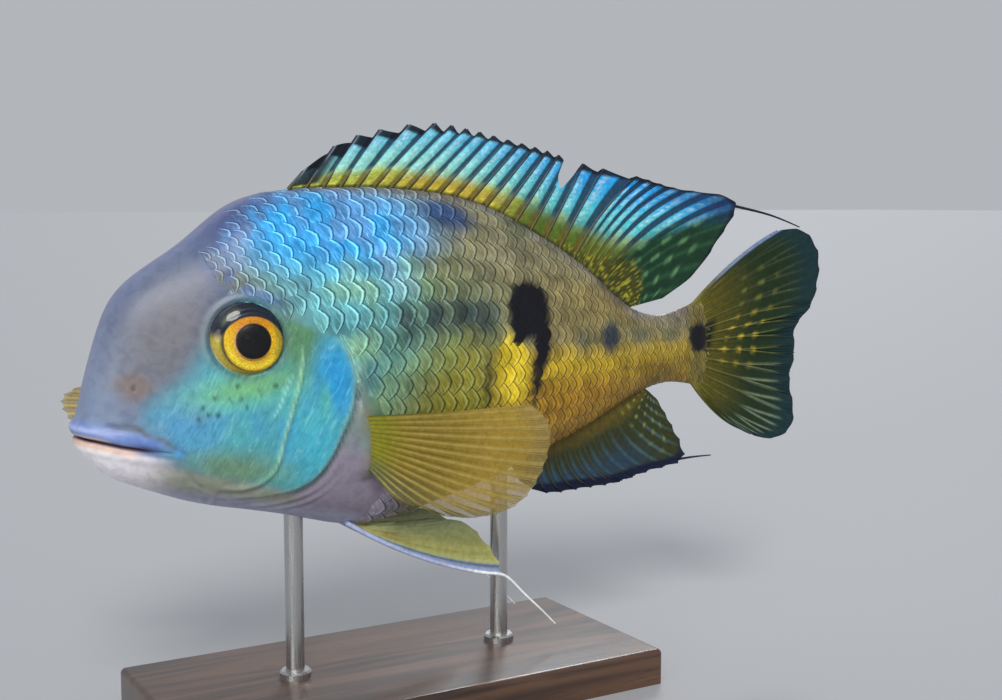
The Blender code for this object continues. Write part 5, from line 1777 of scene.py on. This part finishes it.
def caudal_colours(at, height):
    phase = (at * CAUDAL_RAY_COUNT) % 1.0
    number = np.floor(at * CAUDAL_RAY_COUNT)
    on_ray = ridge(phase - 0.5, 0.22)
    forks = ridge(np.abs(phase - 0.5) - 0.05 - 0.20 * ramp(height, 0.4, 0.9), 0.07)
    dashes = ramp(np.sin(height * 46 + 0.8 * number), 0.35, 0.75) * ridge(phase - 0.5, 0.17)
    middle = ramp(number, 4.5, 5.5) * ramp(9.5 - number, 0, 1) * ramp(0.66 - height, 0, 0.08)
    upper = ramp(number, 1.5, 2.5) * ramp(5.5 - number, 0, 1) * ramp(0.70 - height, 0, 0.1)
    lower = forks * ramp(number, 8.5, 9.5) * ramp(height, 0.45, 0.6) * ramp(0.90 - height, 0, 0.1)
    root_blotch = ramp(0.21 - height, 0, 0.06) * ramp(at, 0.27, 0.34) * ramp(0.56 - at, 0, 0.07)
    made = wash(
        (0.006, 0.022, 0.004),
        ((0.085, 0.074, 0.003), ramp(0.60 - height, 0, 0.50)),
        ((0.180, 0.140, 0.015), 0.8 * ramp(0.13 - height, 0, 0.12)),
        ((0.002, 0.028, 0.034), ramp(height, 0.68, 0.95)),
        ((0.003, 0.012, 0.020), 0.8 * ramp(height, 0.965, 1.0)),
        ((0.075, 0.095, 0.035), 0.45 * forks * ramp(height, 0.2, 0.4) * ramp(0.95 - height, 0, 0.2)),
        ((0.010, 0.018, 0.003), 0.5 * ridge(phase, 0.10) * ramp(height, 0.05, 0.2)),
        ((0.620, 0.470, 0.030), 0.95 * dashes * middle * ramp(height, 0.20, 0.28)),
        ((0.300, 0.300, 0.040), 0.45 * dashes * upper * ramp(height, 0.30, 0.40)),
        ((0.200, 0.270, 0.190), 0.75 * lower),
        ((0.180, 0.250, 0.450), 0.85 * ridge(at, 0.014) * ramp(height, 0.15, 0.4)),
        ((0.002, 0.003, 0.004), 0.95 * root_blotch),
    )
    return with_fourth(made, 0.99 - 0.08 * ramp(height, 0.75, 1.0) * (1 - 0.5 * on_ray))


def make_caudal_fin():
    root_curve, tip_curves = ray_curves(CAUDAL_RAYS)

    def roots(at):
        return stacked(CAUDAL_ROOT, 0, root_curve(at))

    def tips(at):
        return stacked(tip_curves[0](at), 0, tip_curves[1](at))

    def sag(at):
        return stacked(0, 0, CAUDAL_BOW * np.cos(math.pi * at))

    surface = fan(roots, tips, sag)

    def ripple(at, height):
        folds = 0.0010 * np.sin(2 * math.pi * at * CAUDAL_RAY_COUNT)
        return (folds + 0.0050 * np.sin(7 * at + 1) * height) * ramp(height, 0, 0.25)

    sheet = fin_sheet(surface, CAUDAL_GRID, scalloped(CAUDAL_RAY_COUNT, 0.012), ripple, 0.06)
    lines = []
    tinted = ray_tint(caudal_colours, (0.200, 0.190, 0.050), 0.35)
    gap = 1 / CAUDAL_RAY_COUNT
    for number in range(CAUDAL_RAY_COUNT):
        at = (number + 0.5) / CAUDAL_RAY_COUNT
        lines += branched_ray(surface, at, gap, 0.975, CAUDAL_RAY_RADII, tinted, 0.35)
    for at in (0.0, 1.0):
        lines.append(ray_line(surface, at, np.linspace(-0.05, 0.98, 14), CAUDAL_EDGE_RADII, tinted))
    build_fin(
        "caudal_fin_skin", sheet, caudal_colours, lines, fin_finish("caudal_fin_skin"),
        "caudal_membrane", "caudal_fin",
    )


make_caudal_fin()


# Breast fins: clear golden fans of fourteen branched rays, each on a slanting root behind the gill
# cover. The left one trails along the flank and the right one is swept forward.
PECTORAL_RAYS = (
    (0.00, 0.249, 0.002), (0.15, 0.277, -0.014), (0.30, 0.279, -0.040), (0.50, 0.256, -0.078),
    (0.70, 0.201, -0.101), (0.85, 0.125, -0.090), (1.00, 0.046, -0.050),
)
PECTORAL_SWEEP = {"left": math.radians(6), "right": math.radians(157)}
PECTORAL_LENGTH = {"left": 0.99, "right": 1.27}
PECTORAL_SPREAD = {"left": 1.0, "right": 0.5}
PECTORAL_LIFT = {"left": 0.0, "right": 0.08}
PECTORAL_BOW = 0.012
PECTORAL_DROOP = 0.010
PECTORAL_STAND_OFF = 0.006
PECTORAL_RAY_COUNT = 14
PECTORAL_RAY_RADII = (0.00030, 0.00010)
PECTORAL_GRID = (260, 50)


def pectoral_colours(at, height):
    phase = (at * PECTORAL_RAY_COUNT) % 1.0
    on_ray = ridge(phase - 0.5, 0.18)
    made = wash(
        (0.290, 0.200, 0.022),
        ((0.430, 0.280, 0.040), 0.8 * ramp(height, 0.35, 0.70)),
        ((0.300, 0.240, 0.110), 0.7 * ramp(height, 0.80, 1.0)),
        ((0.235, 0.225, 0.014), ramp(0.24 - height, 0, 0.18)),
        ((0.100, 0.130, 0.070), 0.7 * ramp(at, 0.60, 0.95)),
        ((0.100, 0.085, 0.010), 0.75 * ridge(phase, 0.18) * ramp(0.75 - height, 0, 0.5)),
        ((0.520, 0.400, 0.110), 0.7 * on_ray * ramp(height, 0.05, 0.30)),
    )
    solid = 0.62 - 0.20 * ramp(height, 0.55, 1.0) + 0.32 * ramp(0.30 - height, 0, 0.3) + 0.30 * on_ray
    return with_fourth(made, np.clip(solid - 0.15 * ramp(at, 0.6, 1.0), 0.2, 1.0))


def make_pectoral_fin(name, side, finish):
    table = np.array(PECTORAL_RAYS)
    reach_curve, rise_curve = spline(table[:, 0], table[:, 1]), spline(table[:, 0], table[:, 2])
    (top_x, top_z), (bottom_x, bottom_z) = BREAST_FIN_ROOT
    sweep, length = PECTORAL_SWEEP[name], PECTORAL_LENGTH[name]
    direction = np.array((math.cos(sweep), side * math.sin(sweep), 0.0))

    def roots(at):
        x = top_x + (bottom_x - top_x) * at
        z = top_z + (bottom_z - top_z) * at
        return stacked(x, side * (skin_side(x, z) + PECTORAL_STAND_OFF), z)

    def tips(at):
        reach = reach_curve(at) * length
        rise = rise_curve(at) * PECTORAL_SPREAD[name] + reach * PECTORAL_LIFT[name]
        return roots(at) + reach[..., None] * direction + rise[..., None] * np.array((0.0, 0.0, 1.0))

    def sag(at):
        return stacked(0, side * PECTORAL_BOW, -PECTORAL_DROOP * at)

    surface = fan(roots, tips, sag)

    def ripple(at, height):
        return 0.0006 * np.sin(2 * math.pi * at * PECTORAL_RAY_COUNT) * ramp(height, 0, 0.4)

    sheet = fin_sheet(surface, PECTORAL_GRID, scalloped(PECTORAL_RAY_COUNT, 0.014), ripple, 0.0)
    lines = []
    tinted = ray_tint(pectoral_colours, (0.420, 0.330, 0.090), 0.5)
    gap = 1 / PECTORAL_RAY_COUNT
    for number in range(PECTORAL_RAY_COUNT):
        at = (number + 0.5) * gap
        lines += branched_ray(surface, at, gap, 0.975, PECTORAL_RAY_RADII, tinted, 0.40, 0.005)
    build_fin(
        f"pectoral_fin_skin_{name}", sheet, pectoral_colours, lines, finish,
        "pectoral_membrane", f"pectoral_fin_{name}",
    )


golden_membrane = fin_finish("pectoral_fin_skin", 0.35)
for side_name, side_sign in SIDES:
    make_pectoral_fin(side_name, side_sign, golden_membrane)


# Belly fins: one stiff spine and five branched rays each, folded back under the belly. The front edge
# is thick and blue-white, and runs on into a long white thread.
PELVIC_ROOT = ((0.374, 0.034), (0.398, 0.022))
PELVIC_STAND_OFF = 0.004
PELVIC_RAYS = (
    (0.00, (0.612, 0.052, -0.322)), (0.30, (0.600, 0.052, -0.290)), (0.55, (0.575, 0.050, -0.258)),
    (0.80, (0.545, 0.046, -0.234)), (1.00, (0.500, 0.040, -0.226)),
)
PELVIC_SAG = -0.014
PELVIC_FILAMENT = ((0.642, 0.055, -0.350), (0.670, 0.058, -0.378), (0.700, 0.060, -0.409))
PELVIC_RAY_COUNT = 6
PELVIC_SPINE_RADII = (0.00060, 0.00030)
PELVIC_GRID = (130, 50)


def skin_under(x, y):
    """The height of the belly's skin at a place beside the middle plane."""
    _, _, belly, half_width, widest = [curve(distance_along(x)) for curve in CURVES]
    exponent = roundness(x, False)
    share = (1 - np.minimum(1, np.abs(y) / half_width) ** exponent) ** (1 / exponent)
    return widest - (widest - belly) * share


def pelvic_colours(at, height):
    made = wash(
        (0.390, 0.430, 0.190),
        ((0.440, 0.410, 0.110), 0.7 * ridge(at - 0.35, 0.22)),
        ((0.150, 0.200, 0.140), 0.7 * ramp(at, 0.65, 1.0)),
        ((0.230, 0.150, 0.040), 0.6 * spot(at, height, (0.45, 0.22), (0.16, 0.12), 0, 0.8)),
        ((0.300, 0.360, 0.620), 0.9 * ramp(0.13 - at, 0, 0.06)),
        ((0.040, 0.120, 0.420), 0.8 * ridge(at - 0.13, 0.03)),
    )
    return with_fourth(made, 0.96 - 0.22 * ramp(at, 0.3, 1.0))


def make_pelvic_fin(name, side, finish):
    places = np.array([at for at, _ in PELVIC_RAYS])
    tips_table = np.array([tip for _, tip in PELVIC_RAYS])
    tip_curves = [spline(places, tips_table[:, axis]) for axis in range(3)]
    (front_x, front_y), (rear_x, rear_y) = PELVIC_ROOT
    last = PELVIC_RAY_COUNT - 1

    def roots(at):
        x = front_x + (rear_x - front_x) * at
        y = front_y + (rear_y - front_y) * at
        return stacked(x, side * y, skin_under(x, y) - PELVIC_STAND_OFF)

    def tips(at):
        return stacked(tip_curves[0](at), side * tip_curves[1](at), tip_curves[2](at))

    def sag(at):
        return stacked(0, 0, PELVIC_SAG * (1 - at))

    surface = fan(roots, tips, sag)

    def ripple(at, height):
        return 0.0010 * np.sin(2 * math.pi * at * last) * ramp(height, 0, 0.4)

    sheet = fin_sheet(surface, PELVIC_GRID, scalloped(last, 0.020), ripple, 0.04)

    def spine_colour(at, height):
        return with_fourth(wash((0.420, 0.480, 0.700), ((0.780, 0.820, 0.880), ramp(height, 0.5, 1.0))), 1.0)

    lines = [ray_line(surface, 0.0, np.linspace(-0.03, 0.99, 20), PELVIC_SPINE_RADII, spine_colour)]
    tinted = ray_tint(pelvic_colours, (0.420, 0.420, 0.180), 0.5)
    for number in range(1, PELVIC_RAY_COUNT):
        at = number / last
        gap = 1 / last if number < last else 0.0
        lines += branched_ray(surface, at, gap, 0.97, SOFT_RAY_RADII, tinted)
    front_edge = surface(np.zeros(3), np.array((0.80, 0.90, 0.99)))
    thread = np.concatenate([front_edge, [(x, side * y, z) for x, y, z in PELVIC_FILAMENT]])
    lines.append(thread_line(thread, (0.850, 0.880, 0.900, 1.0)))
    build_fin(
        f"pelvic_fin_skin_{name}", sheet, pelvic_colours, lines, finish,
        "pelvic_membrane", f"pelvic_fin_{name}",
    )


olive_membrane = fin_finish("pelvic_fin_skin", 0.4)
for side_name, side_sign in SIDES:
    make_pelvic_fin(side_name, side_sign, olive_membrane)


# Floor, lights and camera: a plain pale floor under a plain pale sky, soft studio lamps, and the camera
# at the photograph's angle.
CAMERA_YAW = math.radians(30.33)
CAMERA_PITCH = math.radians(6.06)
CAMERA_DISTANCE = 2.108
CAMERA_TARGET = (0.6392, 0.0, 0.0098)
FLOOR_SIZE = 30.0


def make_floor():
    finish, _, shader = new_finish("pale_floor")
    feed(shader, Base_Color=(0.395, 0.405, 0.425, 1), Roughness=0.7)
    half = FLOOR_SIZE / 2
    corners = [(-half, -half, 0), (half, -half, 0), (half, half, 0), (-half, half, 0)]
    new_piece("floor", corners, [[0, 1, 2, 3]], finish)


def add_lamp(name, direction, strength, softness, colour=(1, 1, 1)):
    """A far, soft lamp that shines on the fish from a direction."""
    data = bpy.data.lights.new(name, "SUN")
    data.energy = strength
    data.angle = math.radians(softness)
    data.color = colour
    new_object(name, data).rotation_euler = Vector(direction).to_track_quat("Z", "Y").to_euler()


def make_sky():
    world = bpy.data.worlds.new("pale_room")
    world.use_nodes = True
    feed(world.node_tree.nodes["Background"], Color=(0.80, 0.83, 0.88, 1), Strength=0.56)
    bpy.context.scene.world = world


def make_camera():
    back = Vector((
        -math.sin(CAMERA_YAW) * math.cos(CAMERA_PITCH),
        -math.cos(CAMERA_YAW) * math.cos(CAMERA_PITCH),
        math.sin(CAMERA_PITCH),
    ))
    right = Vector((math.cos(CAMERA_YAW), -math.sin(CAMERA_YAW), 0))
    turned = Matrix((right, back.cross(right), back)).transposed().to_4x4()
    turned.translation = Vector(place(CAMERA_TARGET)) + back * CAMERA_DISTANCE * STANDARD_LENGTH
    data = bpy.data.cameras.new("camera")
    data.lens = 50
    data.sensor_width = 36
    data.clip_start = 0.005
    camera = new_object("camera", data)
    camera.matrix_world = turned
    bpy.context.scene.camera = camera


make_floor()
make_sky()
add_lamp("key_lamp", (-0.35, -0.75, 0.75), 1.9, 22, (1.0, 0.98, 0.95))
add_lamp("front_lamp", (-0.85, -0.60, 0.10), 0.8, 30)
add_lamp("back_lamp", (0.50, 0.60, 0.60), 0.9, 15, (0.95, 0.97, 1.0))
make_camera()
bpy.context.scene.view_settings.view_transform = "Standard"
